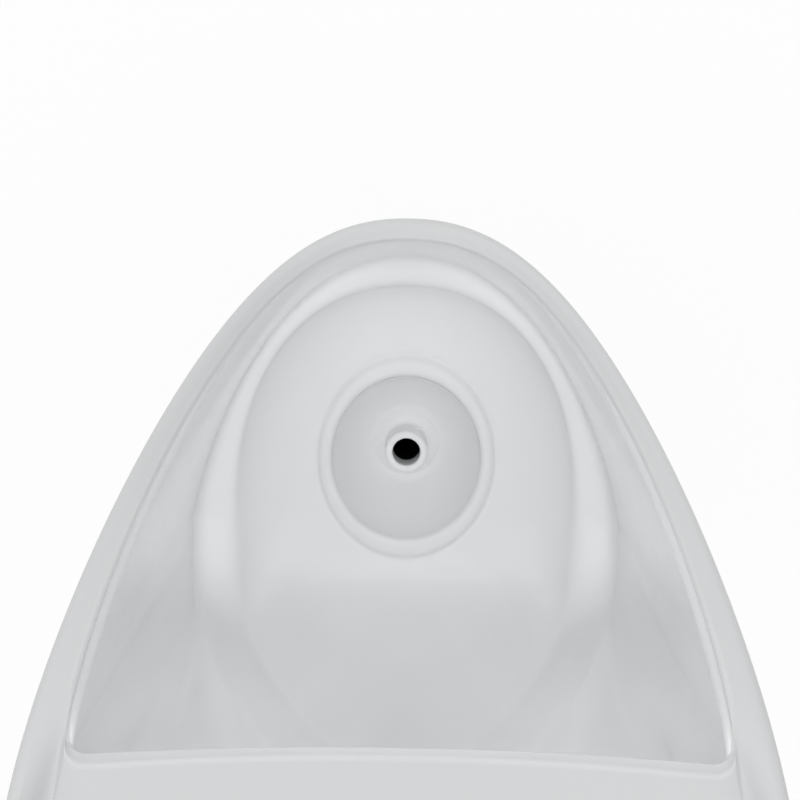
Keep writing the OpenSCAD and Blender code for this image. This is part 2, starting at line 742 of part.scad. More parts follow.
module spreader_nut() {
    color(chrome_grey)
        toward_wall(niche_back_y + spreader_washer_h, spreader_z)
            difference() {
                hex(spreader_nut_af, spreader_nut_h);
                translate([0, 0, -1])
                    cylinder(d = spreader_shank_d + 2 * thread_gap, h = spreader_nut_h + 2);
            }
}

// Inlet spud through the deck
deck_spot_depth = 3.5;
deck_seat_z = body_h - deck_spot_depth;
spud_shank_d = 38;
spud_flange_d = 52;
spud_flange_h = 5;
spud_nut_h = 14;
spud_washer_h = 3;
spud_washer_d = 54;
spud_nut_af = 48;
spud_collar_h = 8;
spud_collar_wall = 5;
spud_thread_past = 12;
spud_foot_z = hollow_top_z - spud_washer_h - spud_nut_h - spud_thread_past;
spud_tail_h = 24;
socket_depth = 44;
module inlet_spud() {
    face_z = deck_seat_z + gasket_h;
    top_z = face_z + spud_flange_h + spud_collar_h;
    color(chrome_grey)
        translate([0, inlet_y, 0])
            difference() {
                union() {
                    translate([0, 0, spud_foot_z])
                        cylinder(d = spud_shank_d, h = face_z - spud_foot_z);
                    translate([0, 0, face_z])
                        cylinder(d = spud_flange_d, h = spud_flange_h);
                    translate([0, 0, face_z])
                        cylinder(d = inlet_bore + 2 * spud_collar_wall, h = top_z - face_z);
                    translate([0, 0, spud_foot_z - spud_tail_h])
                        cylinder(d = tail_d, h = spud_tail_h + 1);
                }
                translate([0, 0, top_z - socket_depth])
                    cylinder(d = inlet_bore, h = socket_depth + 1);
                translate([0, 0, spud_foot_z - spud_tail_h - 1])
                    cylinder(d = spreader_bore, h = top_z - socket_depth - spud_foot_z + spud_tail_h + 2);
            }
}
module spud_gasket() {
    color(rubber_black)
        translate([0, inlet_y, deck_seat_z])
            ring(spud_flange_d, spud_shank_d + 2 * thread_gap, gasket_h);
}
module spud_washer() {
    color(rubber_black)
        translate([0, inlet_y, hollow_top_z - spud_washer_h])
            ring(spud_washer_d, spud_shank_d + 2 * thread_gap, spud_washer_h);
}
module spud_nut() {
    color(chrome_grey)
        translate([0, inlet_y, hollow_top_z - spud_washer_h - spud_nut_h])
            difference() {
                hex(spud_nut_af, spud_nut_h);
                translate([0, 0, -1])
                    cylinder(d = spud_shank_d + 2 * thread_gap, h = spud_nut_h + 2);
            }
}

// Rubber elbow from the spud tail to the spreader tail, with its two clamps
elbow_wall = 3;
elbow_d = tail_d + 2 * elbow_wall;
elbow_top_z = spud_foot_z - 2;
elbow_front_y = spreader_tail_y + 1;
clamp_w = 9;
clamp_band = 1.5;
clamp_d = elbow_d + 2 * clamp_band;
clamp_inset = 2;
clamp_box = 8;
module flush_elbow() {
    color(rubber_black)
        difference() {
            union() {
                translate([0, inlet_y, spreader_z])
                    cylinder(d = elbow_d, h = elbow_top_z - spreader_z);
                toward_wall(elbow_front_y, spreader_z)
                    cylinder(d = elbow_d, h = inlet_y - elbow_front_y);
                translate([0, inlet_y, spreader_z])
                    sphere(d = elbow_d);
            }
            translate([0, inlet_y, spreader_z])
                cylinder(d = tail_d, h = elbow_top_z - spreader_z + 1);
            toward_wall(elbow_front_y - 1, spreader_z)
                cylinder(d = tail_d, h = inlet_y - elbow_front_y + 1);
            translate([0, inlet_y, spreader_z])
                sphere(d = tail_d);
        }
}
module hose_clamp() {
    difference() {
        union() {
            cylinder(d = clamp_d, h = clamp_w);
            translate([-clamp_box / 2, clamp_d / 2 - clamp_inset, clamp_band / 2])
                cube([clamp_box, clamp_box - 1, clamp_w - clamp_band]);
        }
        translate([0, 0, -1])
            cylinder(d = elbow_d, h = clamp_w + 2);
    }
}
module hose_clamps() {
    color(zinc_grey) {
        translate([0, inlet_y, elbow_top_z - clamp_w - clamp_inset])
            hose_clamp();
        toward_wall(elbow_front_y + clamp_inset, spreader_z)
            hose_clamp();
    }
}

// Floor brackets inside the pedestal, with screws through its sides
inside_x = foot_half_w - wall;
screw_y = wall_y - screw_from_wall;
plate_t = 4;
bracket_w = 40;
bracket_reach = 48;
bracket_h = 72;
rib_size = 26;
rib_t = 3;
anchor_from_end = 16;
screw_d = 8;
head_d = 13;
screw_washer_h = 2;
screw_washer_d = 18;
head_h = 5;
key_af = 6;
key_depth = 3;
nut_af = 13;
nut_h = 6.5;
thread_past = 3.5;
cap_skin = 2;
cap_d = 23;
module along_side(x, y, z) {
    translate([x, y, z])
        rotate([0, 90, 0])
            children();
}
module floor_bracket() {
    difference() {
        union() {
            translate([inside_x - plate_t, screw_y - bracket_w / 2, 0])
                cube([plate_t, bracket_w, bracket_h]);
            translate([inside_x - bracket_reach, screw_y - bracket_w / 2, 0])
                cube([bracket_reach, bracket_w, plate_t]);
            for (y = [screw_y + bracket_w / 2, screw_y - bracket_w / 2 + rib_t])
                translate([inside_x - plate_t, y, plate_t])
                    rotate([90, 0, 0])
                        linear_extrude(height = rib_t)
                            polygon([[0, 0], [-rib_size, 0], [0, rib_size]]);
        }
        along_side(inside_x - plate_t - 1, screw_y, screw_z)
            cylinder(d = screw_d + 2 * thread_gap, h = plate_t + 2);
        translate([inside_x - bracket_reach + anchor_from_end, screw_y, -1])
            cylinder(d = anchor_hole, h = plate_t + 2);
    }
}
module floor_brackets() {
    color(zinc_grey)
        both_sides()
            floor_bracket();
}
module bracket_nuts() {
    color(zinc_grey)
        both_sides()
            along_side(inside_x - plate_t - nut_h, screw_y, screw_z)
                difference() {
                    hex(nut_af, nut_h);
                    translate([0, 0, -1])
                        cylinder(d = screw_d + 2 * thread_gap, h = nut_h + 2);
                }
}
module side_screws() {
    foot_x = inside_x - plate_t - nut_h - thread_past;
    head_x = foot_half_w + screw_washer_h;
    color(zinc_grey)
        both_sides()
            difference() {
                union() {
                    along_side(foot_x, screw_y, screw_z)
                        cylinder(d = screw_d, h = head_x - foot_x);
                    along_side(head_x, screw_y, screw_z)
                        cylinder(d = head_d, h = head_h);
                }
                along_side(head_x + head_h - key_depth, screw_y, screw_z)
                    hex(key_af, key_depth + 1);
            }
}
module screw_washers() {
    color(plastic_white)
        both_sides()
            along_side(foot_half_w, screw_y, screw_z)
                ring(screw_washer_d, screw_d + 2 * thread_gap, screw_washer_h);
}
module screw_caps() {
    cap_h = screw_washer_h + head_h + cap_skin;
    color(ceramic_white)
        both_sides()
            along_side(foot_half_w, screw_y, screw_z)
                difference() {
                    union() {
                        cylinder(d = cap_d, h = cap_h - cap_skin);
                        translate([0, 0, cap_h - cap_skin])
                            cylinder(d1 = cap_d, d2 = cap_d - 2 * cap_skin, h = cap_skin);
                    }
                    translate([0, 0, -1])
                        cylinder(d = screw_washer_d + 4 * thread_gap, h = screw_washer_h + head_h + 1);
                }
}

// Openings cut through the ceramic
service_w = 300;
service_beam = 60;
service_low_z = ledge_z;
service_top_z = body_h - service_beam;
door_w = 250;
door_beam = 22;
service_r = 20;
back_clear = 2;
module rounded_slot(w, low, top, r) {
    translate([-w / 2, low + r])
        square([w, top - low - 2 * r]);
    translate([-w / 2 + r, low])
        square([w - 2 * r, top - low]);
    for (x = [-w / 2 + r, w / 2 - r])
        for (z = [low + r, top - r])
            translate([x, z])
                circle(r = r);
}
module through_back() {
    translate([0, wall_y + 1, 0])
        rotate([90, 0, 0])
            linear_extrude(height = wall + 1 + back_clear)
                children();
}
keyhole_x = 170;
keyhole_z = body_h - spreader_drop;
keyhole_up = 22;
module keyhole() {
    translate([keyhole_x, keyhole_z])
        circle(d = 2 * keyhole_neck);
    translate([keyhole_x - keyhole_neck / 2, keyhole_z])
        square([keyhole_neck, keyhole_up]);
    translate([keyhole_x, keyhole_z + keyhole_up])
        circle(d = keyhole_neck);
}
hole_room = 2;
spot_room = 3;
module ceramic_cuts() {
    through_back()
        rounded_slot(service_w, service_low_z, service_top_z, service_r);
    through_back()
        rounded_slot(door_w, -service_r, service_low_z - door_beam, service_r);
    through_back()
        both_sides()
            keyhole();
    translate([0, waste_y, under_floor_z - 1])
        cylinder(d = shank_d + hole_room, h = wall + 2);
    toward_wall(niche_seat_y - wall, spreader_z)
        cylinder(d = spreader_shank_d + hole_room / 2, h = 3 * wall);
    toward_wall(niche_seat_y - wall, spreader_z)
        cylinder(d = spreader_flange_d + spot_room, h = wall);
    toward_wall(niche_back_y, spreader_z)
        cylinder(d = spreader_flange_d + spot_room, h = wall);
    translate([0, inlet_y, hollow_top_z - 1])
        cylinder(d = spud_shank_d + hole_room, h = deck_thick + 2);
    translate([0, inlet_y, deck_seat_z])
        cylinder(d = spud_flange_d + spot_room, h = deck_spot_depth + 1);
    along_side(-foot_half_w - 1, screw_y, screw_z)
        cylinder(d = screw_d + hole_room, h = 2 * foot_half_w + 2);
}
module ceramic_body() {
    color(ceramic_white)
        difference() {
            translate([0, lip_y, 0])
                lofted(ceramic_loops(), [0, well_t, well_floor_z], [0, well_t, well_floor_z - wall]);
            ceramic_cuts();
        }
}

ceramic_body();
waste_standpipe();
waste_seal();
waste_washer();
waste_backnut();
trap_inlet_nut();
trap_inlet_washer();
trap_body();
trap_cup_seal();
trap_cup();
trap_outlet_washer();
trap_outlet_nut();
outlet_bend();
floor_socket_seal();
flush_spreader();
spreader_gasket();
spreader_washer();
spreader_nut();
inlet_spud();
spud_gasket();
spud_washer();
spud_nut();
flush_elbow();
hose_clamps();
floor_brackets();
bracket_nuts();
side_screws();
screw_washers();
screw_caps();
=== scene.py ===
import json
import math
from collections import namedtuple
import bpy
import bmesh
import numpy as np
from mathutils import Matrix, Vector


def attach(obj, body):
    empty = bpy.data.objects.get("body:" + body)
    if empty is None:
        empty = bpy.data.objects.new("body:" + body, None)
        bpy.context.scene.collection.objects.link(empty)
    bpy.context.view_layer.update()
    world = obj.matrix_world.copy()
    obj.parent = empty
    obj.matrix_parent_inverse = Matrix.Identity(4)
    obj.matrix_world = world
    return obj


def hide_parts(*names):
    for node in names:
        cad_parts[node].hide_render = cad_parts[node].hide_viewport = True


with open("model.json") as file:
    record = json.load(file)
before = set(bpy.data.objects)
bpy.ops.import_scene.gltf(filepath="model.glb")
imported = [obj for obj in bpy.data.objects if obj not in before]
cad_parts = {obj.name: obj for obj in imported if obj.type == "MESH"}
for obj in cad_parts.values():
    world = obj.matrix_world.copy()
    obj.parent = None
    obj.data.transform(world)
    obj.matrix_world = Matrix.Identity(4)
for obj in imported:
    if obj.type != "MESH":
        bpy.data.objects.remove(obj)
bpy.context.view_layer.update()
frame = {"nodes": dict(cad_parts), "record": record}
MM = 0.001

# Sizes in mm, as in the part's source. A name that ends in _Z is a height above the floor, and one that
# ends in _T is a distance behind the front of the lip, which lies at Y = T - WALL_Y.
BODY_W, BODY_D, BODY_H, LIP_H = 414.0, 380.0, 900.0, 548.0
RIM_WIDEST_T, RIM_LEVEL_T = BODY_D - 80.0, BODY_D - 80.0
RIM_ROLL, LIP_BEAD_W = 7.0, 14.0
OPENING_HALF_W, DECK_EDGE_T, DECK_BOW, DECK_VALLEY = 173.5, BODY_D - 137.0, 7.0, 4.0
BACK_WALL_T, NICHE_RECESS, LEDGE_Z = BODY_D - 100.0, 12.0, 458.0
LEDGE_OUTER_W, LEDGE_INNER_W = 150.0, 121.5
WELL_T, WELL_Z, WELL_DEPTH, WELL_HALF_W, WELL_HALF_L = BODY_D - 193.0, 421.0, 43.0, 53.0, 58.5
FOOT_HALF_W, FOOT_FRONT_T, FOOT_STRAIGHT_Z, WALL = 165.0, 95.0, 190.0, 11.0
WALL_Y = BODY_D / 2

# A half loop runs from the lip along the side and round the rear corner to the middle of the back, and
# k counts the source's steps along it
N_FRONT, N_SIDE, N_CORNER, N_REAR = 16, 3, 5, 6
K_SIDE = N_FRONT + N_SIDE
K_CORNER = K_SIDE + N_CORNER
K_END = K_CORNER + N_REAR

# The rim, the opening and the foot
RIM_SWEEP, RIM_ROUND, OPENING_ROUND, FOOT_ROUND = 1.4, 1.5, 1.48, 1.9
SIDE_ROUND, FOOT_SIDE_ROUND = 2.15, 2.3
OUTER_FRONT_T, INNER_FRONT_T = DECK_EDGE_T - 28.0, DECK_EDGE_T - 38.0
FOOT_FRONT_END_T, FOOT_WIDEST_T = RIM_WIDEST_T - 60.0, RIM_WIDEST_T - 10.0
BACK_CORNER_R, CORNER_SHRINK, OPENING_R = 15.0, 0.8, 10.0
VALLEY_START, VALLEY_FLOOR, VALLEY_END, VALLEY_REBOUND = 10.0, 28.0, 48.0, 0.4
DECK_FADE = 25.0

# The walls and the two creases of the bowl
CEILING_Z = BODY_H - 40.0
INNER_CORNER_R, WALL_LEAN, WALL_START_DROP, EDGE_DROP = 40.0, 2.0, 26.0, 14.0
CREASE_WIDEST_T, CORNER_WAY = BACK_WALL_T - 40.0, 2.0
OUTER_FRONT_RUN, OUTER_FRONT_ROUND, OUTER_BEND, OUTER_ARCH_ROUND = 38.0, 1.45, 50.0, (1.2, 1.8)
INNER_FRONT_RUN, INNER_FRONT_ROUND, INNER_BEND, INNER_ARCH_ROUND = 57.0, 2.5, 55.0, (1.35, 1.15)
NICHE_T = BACK_WALL_T + NICHE_RECESS
OUTER_ARCH_TOP = CEILING_Z - 8.0
INNER_ARCH_TOP = OUTER_ARCH_TOP - 38.0

# The bowl floor and the well
RING_W, RING_L, MOUTH_RISE, GROOVE_H = 10.5, 15.0, 8.0, 2.0
SCOOP_STEEP, UNDER_STEEP, SCOOP_LEAN, SCOOP_FLAT, SCOOP_WALL_FLAT = 0.5, 0.3, 0.06, 0.5, 1.1
SCOOP_RISE, DISH, LOW_DROP, HIGH_DROP = 62.0, 16.0, 30.0, 230.0
WELL_LEAN = 0.15
WELL_FLOOR_Z = WELL_Z - WELL_DEPTH

# Sizes that differ a little from the source, where the photograph shows it so
LEDGE_DROP, FLOOR_HALF_W, FLOOR_HALF_L, WELL_FLAT = 5.0, 25.0, 28.0, 0.3

# The hollow behind the skin
DECK_THICK, N_UNDER = 22.0, 6
HOLLOW_LOW_Z, HOLLOW_TOP_Z = LEDGE_Z - 30.0, BODY_H - DECK_THICK
HOLLOW_FILLET, HOLLOW_CORNER_R, HOLLOW_RUN, HOLLOW_SPREAD, HOLLOW_WIDEN = 0.25, 6.0, 8.0, 0.15, 0.055
HOLLOW_NARROW, HOLLOW_SPRING, HOLLOW_ARCH_ROUND = 4.0, 38.0, (1.3, 2.0)
SKIN_RUN, BEHIND_IN = 4.0, 1.0

# Openings cut through the ceramic, and the places of the fittings in them
SERVICE_W, SERVICE_BEAM, SERVICE_R, DOOR_W, DOOR_BEAM = 300.0, 60.0, 20.0, 250.0, 22.0
KEYHOLE_X, KEYHOLE_NECK, KEYHOLE_UP = 170.0, 9.0, 22.0
WASTE_Y, WASTE_HOLE_R = WELL_T - WALL_Y, 16.9
SPREADER_Z, SPREADER_HOLE_R, SPREADER_SEAT_R = BODY_H - 110.0, 11.4, 19.5
NICHE_SEAT_DEPTH, NICHE_BACK_DEPTH, DECK_SEAT_DEPTH = 2.5, 2.0, 3.5
INLET_Y, INLET_HOLE_R, INLET_SEAT_R = WALL_Y - 42.0, 20.0, 27.5
SCREW_Y, SCREW_Z, SCREW_HOLE_R = WALL_Y - 50.0, 45.0, 5.0

# The standpipe, from its top down to the foot of its threaded shank
PIPE_R, PIPE_BORE_R, PIPE_TOP_Z = 15.25, 10.0, WELL_FLOOR_Z + 30.0
FLANGE_R, FLANGE_LOW_Z, FLANGE_TOP_Z = 20.0, WELL_FLOOR_Z + 2.0, WELL_FLOOR_Z + 4.5
SHANK_R, SHANK_BORE_R, SHANK_FOOT_Z, SHANK_BORE_Z = 15.9, 12.0, WELL_FLOOR_Z - 60.0, WELL_FLOOR_Z - 20.0
THREAD_PITCH, THREAD_DEPTH, THREAD_STEPS, THREAD_CLEAR, THREAD_NEAR = 2.3, 0.9, 6, 1.0, 0.01
# The flange rises as a low cone, and its skirt covers the edge of the seal with a small gap
SKIRT_W, SKIRT_GAP, CONE_START, CONE_LOW_ROUND, CONE_HIGH_ROUND = 3.4, 0.1, 0.3, 3.0, 3.5
PIPE_OUTER_ROUND, PIPE_INNER_ROUND, SHANK_FOOT_ROUND, BORE_ROUND = 2.6, 2.0, 1.0, 0.5
# The bore's colour is painted darker from just below its top to a depth of BORE_DARK, as painted shade, and
# the bore has a row of points every BORE_STEP there
BORE_START, BORE_STEP, BORE_DARK, BORE_LIGHT, BORE_NEAR = 4.0, 2.0, 24.0, 1.5, 0.2


# The camera, as fitted to the photograph
CAM_AT = Vector((-3.526, -371.322, 1934.665)) * MM
CAM_TILT, CAM_ROLL, CAM_PAN = math.radians(12.189), math.radians(0.917), math.radians(-0.317)
CAM_FOCAL_PX, FRAME_PX, SENSOR = 2174.836, 800.0, 36.0


def make_camera():
    side = Vector((-1, 0, 0))
    tilted = Vector((0, math.sin(CAM_TILT), -math.cos(CAM_TILT)))
    up = Vector((0, -math.cos(CAM_TILT), -math.sin(CAM_TILT)))
    ahead = tilted * math.cos(CAM_PAN) + side * math.sin(CAM_PAN)
    panned = side * math.cos(CAM_PAN) - tilted * math.sin(CAM_PAN)
    right = panned * math.cos(CAM_ROLL) + up * math.sin(CAM_ROLL)
    above = up * math.cos(CAM_ROLL) - panned * math.sin(CAM_ROLL)
    data = bpy.data.cameras.new("camera")
    data.sensor_width = SENSOR
    data.lens = CAM_FOCAL_PX / FRAME_PX * SENSOR
    data.clip_start, data.clip_end = 0.05, 50
    cam = bpy.data.objects.new("camera", data)
    bpy.context.scene.collection.objects.link(cam)
    turn = Matrix((right, above, -ahead)).transposed().to_4x4()
    cam.matrix_world = Matrix.Translation(CAM_AT) @ turn
    bpy.context.scene.camera = cam


# Blends, the shares of a half loop's stretches that k has passed, and points
def lerp(a, b, s):
    return a + (b - a) * s


def ease(s):
    c = np.clip(s, 0, 1)
    return c * c * (3 - 2 * c)


def side_share(k):
    return np.clip((k - N_FRONT) / N_SIDE, 0, 1)


def corner_share(k):
    return np.clip((k - K_SIDE) / N_CORNER, 0, 1)


def back_share(k):
    return np.clip((k - K_CORNER) / N_REAR, 0, 1)


def quarter(share):
    return np.radians(90 * share)


def pts(x, t, z):
    return np.stack([x, t, z + 0 * x], axis=-1)


# An outline seen from above: a rounded front from start_t to widest_t, straight sides behind it, corners
# of radius corner_r before back_t, and a back that bows forward in its middle. The front's steps end at
# front_end_t.
OUTLINE_SIZES = ("start_t", "front_end_t", "widest_t", "half_w", "run_round", "width_round", "back_t",
                 "corner_r", "bow")
Outline = namedtuple("Outline", OUTLINE_SIZES, defaults=(0.0,))


def half_at(t, o):
    u = np.clip(1 - (t - o.start_t) / (o.widest_t - o.start_t), 0, 1)
    return o.half_w * (1 - u ** o.run_round) ** (1 / o.width_round)


def front_t(k, o):
    return lerp(o.start_t, o.front_end_t, (np.clip(k, 0, N_FRONT) / N_FRONT) ** 2)


def plan(k, o):
    side_end_t = o.back_t - o.corner_r
    s = half_at(np.array(side_end_t), o)
    t1 = np.where(k <= N_FRONT, front_t(k, o), lerp(o.front_end_t, side_end_t, side_share(k)))
    q = quarter(corner_share(k))
    x3 = (s - o.corner_r) * (1 - back_share(k))
    x2 = np.where(k <= K_CORNER, s - o.corner_r + o.corner_r * np.cos(q), x3)
    x = np.where(k <= K_SIDE, half_at(t1, o), x2)
    t2 = np.where(k <= K_CORNER, side_end_t + o.corner_r * np.sin(q), o.back_t)
    t = np.where(k <= K_SIDE, t1, t2)
    return x, np.where(k > K_SIDE, t - o.bow * (1 - (x / s) ** 2), t)


# The rim rises from the lip and levels out at the deck
def rim_z(t):
    q = np.clip(t / RIM_LEVEL_T, 0, 1)
    return LIP_H + (BODY_H - LIP_H) * (1 - (1 - q) ** 2) ** RIM_SWEEP


# An outline that starts behind the lip takes the rim's heights with its front stretched to the lip
def rim_z_on(t, o):
    stretched = o.front_end_t * (t - o.start_t) / (o.front_end_t - o.start_t)
    return rim_z(np.where(t < o.front_end_t, stretched, t))


def rim_inset(d):
    return Outline(d, OUTER_FRONT_T, RIM_WIDEST_T, BODY_W / 2 - d, RIM_ROUND, SIDE_ROUND,
                   BODY_D - d, BACK_CORNER_R - d * CORNER_SHRINK)


def foot_inset(d):
    return Outline(FOOT_FRONT_T + d, FOOT_FRONT_END_T, FOOT_WIDEST_T, FOOT_HALF_W - d, FOOT_ROUND,
                   FOOT_SIDE_ROUND, BODY_D - d, BACK_CORNER_R - d * CORNER_SHRINK)


OPENING_O = Outline(LIP_BEAD_W, INNER_FRONT_T, DECK_EDGE_T - OPENING_R, OPENING_HALF_W,
                    OPENING_ROUND, SIDE_ROUND, DECK_EDGE_T, OPENING_R, DECK_BOW)
INNER_TOP_O = Outline(LIP_BEAD_W + WALL_LEAN, INNER_FRONT_T, DECK_EDGE_T, OPENING_HALF_W - WALL_LEAN,
                      OPENING_ROUND, SIDE_ROUND, BACK_WALL_T, INNER_CORNER_R)
BEHIND_O = Outline(LIP_BEAD_W, INNER_FRONT_T, DECK_EDGE_T, OPENING_HALF_W + WALL - BEHIND_IN,
                   OPENING_ROUND, SIDE_ROUND, BACK_WALL_T + WALL, HOLLOW_CORNER_R)
RIM_O = rim_inset(0)


# A shallow valley runs along the deck beside the bead of the rim
def deck_dip(x, t):
    g = half_at(t, RIM_O) - np.abs(x)
    down = ease((g - VALLEY_START) / (VALLEY_FLOOR - VALLEY_START))
    back_up = ease((g - VALLEY_FLOOR) / (VALLEY_END - VALLEY_FLOOR))
    return ease((t - OUTER_FRONT_T) / DECK_FADE) * DECK_VALLEY * (down - VALLEY_REBOUND * back_up)


def at_top(k, o, drop):
    x, t = plan(k, o)
    return pts(x, t, rim_z_on(t, o) - deck_dip(x, t) - drop)


# The outside runs from the rim to the narrower foot in an S-curve and stays straight below it
def flare(s):
    return s + s * s - s ** 3


def roll_z(k):
    return rim_z_on(plan(k, RIM_O)[1], RIM_O) - RIM_ROLL


def outer_at(k, z, d):
    top = roll_z(k)
    s = flare(np.clip((top - z) / (top - FOOT_STRAIGHT_Z), 0, 1))
    xa, ta = plan(k, rim_inset(d))
    xb, tb = plan(k, foot_inset(d))
    return pts(lerp(xa, xb, s), lerp(ta, tb, s), z)


# A crease runs level round the front of the bowl on its outline and climbs the back wall as an arch. Its
# climb starts with a bend of radius r, and a way is a length along it.
def widest_way(o, t_wall, r):
    ahead = o.widest_t - t_wall + r
    return ahead if ahead < 0 else r * math.asin(ahead / r)


def crease(k, o, t_wall, z_low, z_top, r, arch_round):
    bend = r * math.pi / 2
    top_way = bend + z_top - z_low - r
    widest = widest_way(o, t_wall, r)
    corner = widest + CORNER_WAY
    side_way = lerp(o.front_end_t - t_wall + r, corner, side_share(k))
    corner_way = lerp(corner, bend, corner_share(k))
    rear_way = lerp(bend, top_way, np.sin(quarter(back_share(k))))
    way = np.where(k <= K_SIDE, side_way, np.where(k <= K_CORNER, corner_way, rear_way))
    q = np.clip(way / r, 0, math.pi / 2)
    past = np.clip((way - widest) / (top_way - widest), 0, 1)
    t_climb = t_wall - r + np.minimum(0, way) + r * np.sin(q)
    z_climb = z_low + r * (1 - np.cos(q)) + np.maximum(0, way - bend)
    t = np.where(k <= N_FRONT, front_t(k, o), t_climb)
    narrow = np.where(k <= N_FRONT, 1, (1 - past ** arch_round[0]) ** (1 / arch_round[1]))
    return pts(half_at(t, o) * narrow, t, np.where(k <= N_FRONT, z_low, z_climb))


def crease_outline(start_t, half_w, run_round):
    return Outline(start_t, INNER_FRONT_T, CREASE_WIDEST_T, half_w, run_round, SIDE_ROUND, 0, 0)


def outer_crease(k):
    return crease(k, crease_outline(OUTER_FRONT_RUN, LEDGE_OUTER_W, OUTER_FRONT_ROUND), BACK_WALL_T,
                  LEDGE_Z, OUTER_ARCH_TOP, OUTER_BEND, OUTER_ARCH_ROUND)


def inner_crease(k):
    return crease(k, crease_outline(INNER_FRONT_RUN, LEDGE_INNER_W, INNER_FRONT_ROUND), NICHE_T,
                  LEDGE_Z - LEDGE_DROP, INNER_ARCH_TOP, INNER_BEND, INNER_ARCH_ROUND)


def under_edge(k, o, drop):
    x, t = plan(k, o)
    return pts(x, t, lerp(rim_z_on(t, o) - drop, CEILING_Z, ease(side_share(k))))


# The bowl floor, the ring and the well: oval loops whose points lie at the angles of the inner crease
def round_angle(k):
    p = inner_crease(k)
    return np.arctan2(p[:, 0], WELL_T - p[:, 1])


def oval(q, w, l, z):
    return pts(w * np.sin(q), WELL_T - l * np.cos(q), z)


def mouth(k, grow, dz):
    q = round_angle(k)
    z = WELL_Z + MOUTH_RISE * (1 - np.cos(q)) / 2 + dz
    return oval(q, WELL_HALF_W + RING_W * grow, WELL_HALF_L + RING_L * grow, z)


def bezier(p0, p1, p2, p3, s):
    return p0 * (1 - s) ** 3 + p1 * (3 * s * (1 - s) ** 2) + p2 * (3 * s * s * (1 - s)) + p3 * s ** 3


def flat_out(a, b):
    d = a - b
    d[:, 2] = 0
    return d


UP = np.array([0.0, 0.0, 1.0])


# The bowl floor falls from the inner crease a to the groove g, with a dished wall where the drop is high
def scoop(a, g, steep, s):
    drop = (a[:, 2] - g[:, 2])[:, None]
    f = flat_out(a, g)
    high = ease((drop - LOW_DROP) / (HIGH_DROP - LOW_DROP))
    rise = SCOOP_RISE * (1 - np.exp(-drop * (1 - steep) / SCOOP_RISE))
    out = f * (DISH * high / np.linalg.norm(f, axis=1, keepdims=True) - SCOOP_LEAN)
    steered = g + f * lerp(SCOOP_FLAT, SCOOP_WALL_FLAT, high) + UP * GROOVE_H
    return bezier(a, a - UP * (drop - rise) + out, steered, g, s)


def well_side(k, s):
    top = mouth(k, 0, -GROOVE_H)
    foot = oval(round_angle(k), FLOOR_HALF_W, FLOOR_HALF_L, WELL_FLOOR_Z)
    f = flat_out(top, foot)
    lean = top - UP * WELL_DEPTH / 2 - f * WELL_LEAN
    return bezier(top, lean, foot + f * WELL_FLAT + UP * 2 * GROOVE_H, foot, s)


# The hollow behind the skin. Its surfaces follow the source's own steps, with straight lines between.
def stepwise(fn, k):
    lo = np.floor(k).astype(int)
    hi = np.minimum(lo + 1, K_END)
    whole = fn(np.arange(K_END + 1, dtype=float))
    return lerp(whole[lo], whole[hi], (k - lo)[:, None])


def hollow_outer(k):
    low, high = outer_at(k, HOLLOW_LOW_Z, WALL), outer_at(k, HOLLOW_TOP_Z, WALL)
    return np.where((k < K_SIDE)[:, None], low, high)


def under_outer(k):
    o = crease_outline(OUTER_FRONT_RUN + WALL, LEDGE_OUTER_W - SKIN_RUN, OUTER_FRONT_ROUND)
    t_wall, z_low = BACK_WALL_T + WALL, LEDGE_Z - WALL - SKIN_RUN
    v, w = corner_share(k), quarter(back_share(k))
    side_t = lerp(o.front_end_t, t_wall - HOLLOW_RUN, side_share(k) ** HOLLOW_SPREAD)
    rear_t = t_wall - HOLLOW_RUN * (1 - np.sin(quarter(v)))
    t = np.where(k <= N_FRONT, front_t(k, o), np.where(k <= K_SIDE, side_t, rear_t))
    across, up = np.clip(np.cos(w), 0, 1), np.sin(w)
    x = (half_at(t, o) - HOLLOW_NARROW * v * v) * across ** (2 / HOLLOW_ARCH_ROUND[1])
    x = x * (1 + HOLLOW_WIDEN * ease((k - N_FRONT) / (N_SIDE - 1)))
    climb = up ** (2 / HOLLOW_ARCH_ROUND[0])
    return pts(x, t, lerp(z_low + HOLLOW_SPRING * v * v, OUTER_ARCH_TOP + SKIN_RUN, climb))


def under_inner(k):
    o = crease_outline(INNER_FRONT_RUN - SKIN_RUN, LEDGE_INNER_W + SKIN_RUN, INNER_FRONT_ROUND)
    return crease(k, o, NICHE_T + WALL, LEDGE_Z - LEDGE_DROP - WALL - SKIN_RUN, INNER_ARCH_TOP - SKIN_RUN,
                  INNER_BEND + WALL, INNER_ARCH_ROUND)


def hollow_inner(k, s):
    u = under_outer(k)
    x, t = plan(k, BEHIND_O)
    low, high = lerp(hollow_outer(k), u, HOLLOW_FILLET), pts(x, t, HOLLOW_TOP_Z)
    return lerp(np.where((k < K_SIDE)[:, None], low, high), u, s)


def under_bowl(k, s):
    q = round_angle(k)
    z = WELL_Z + MOUTH_RISE * (1 - np.cos(q)) / 2 - WALL - GROOVE_H
    g = oval(q, WELL_HALF_W + RING_W + SKIN_RUN, WELL_HALF_L + RING_L + SKIN_RUN, z)
    return scoop(under_inner(k), g, UNDER_STEEP, s)


# Rounding of the creases and edges. BEND_SHARE is the most that the rounds at both ends of a stretch take
# of it, and each rounded point is a mean of SOFT_SAMPLES.
BEND_SHARE, SOFT_SAMPLES, SOFT_LEAST = 0.94, 17, 1e-3
# How widely a crease is softened along itself, in mm, and where its softer turn starts and ends, in
# steps of k
ALONG_SOFT, TURN_SOFT, TURN_LEAD, TURN_IN, TURN_OUT = 4.0, 20.0, 2.5, 2.0, 3.0
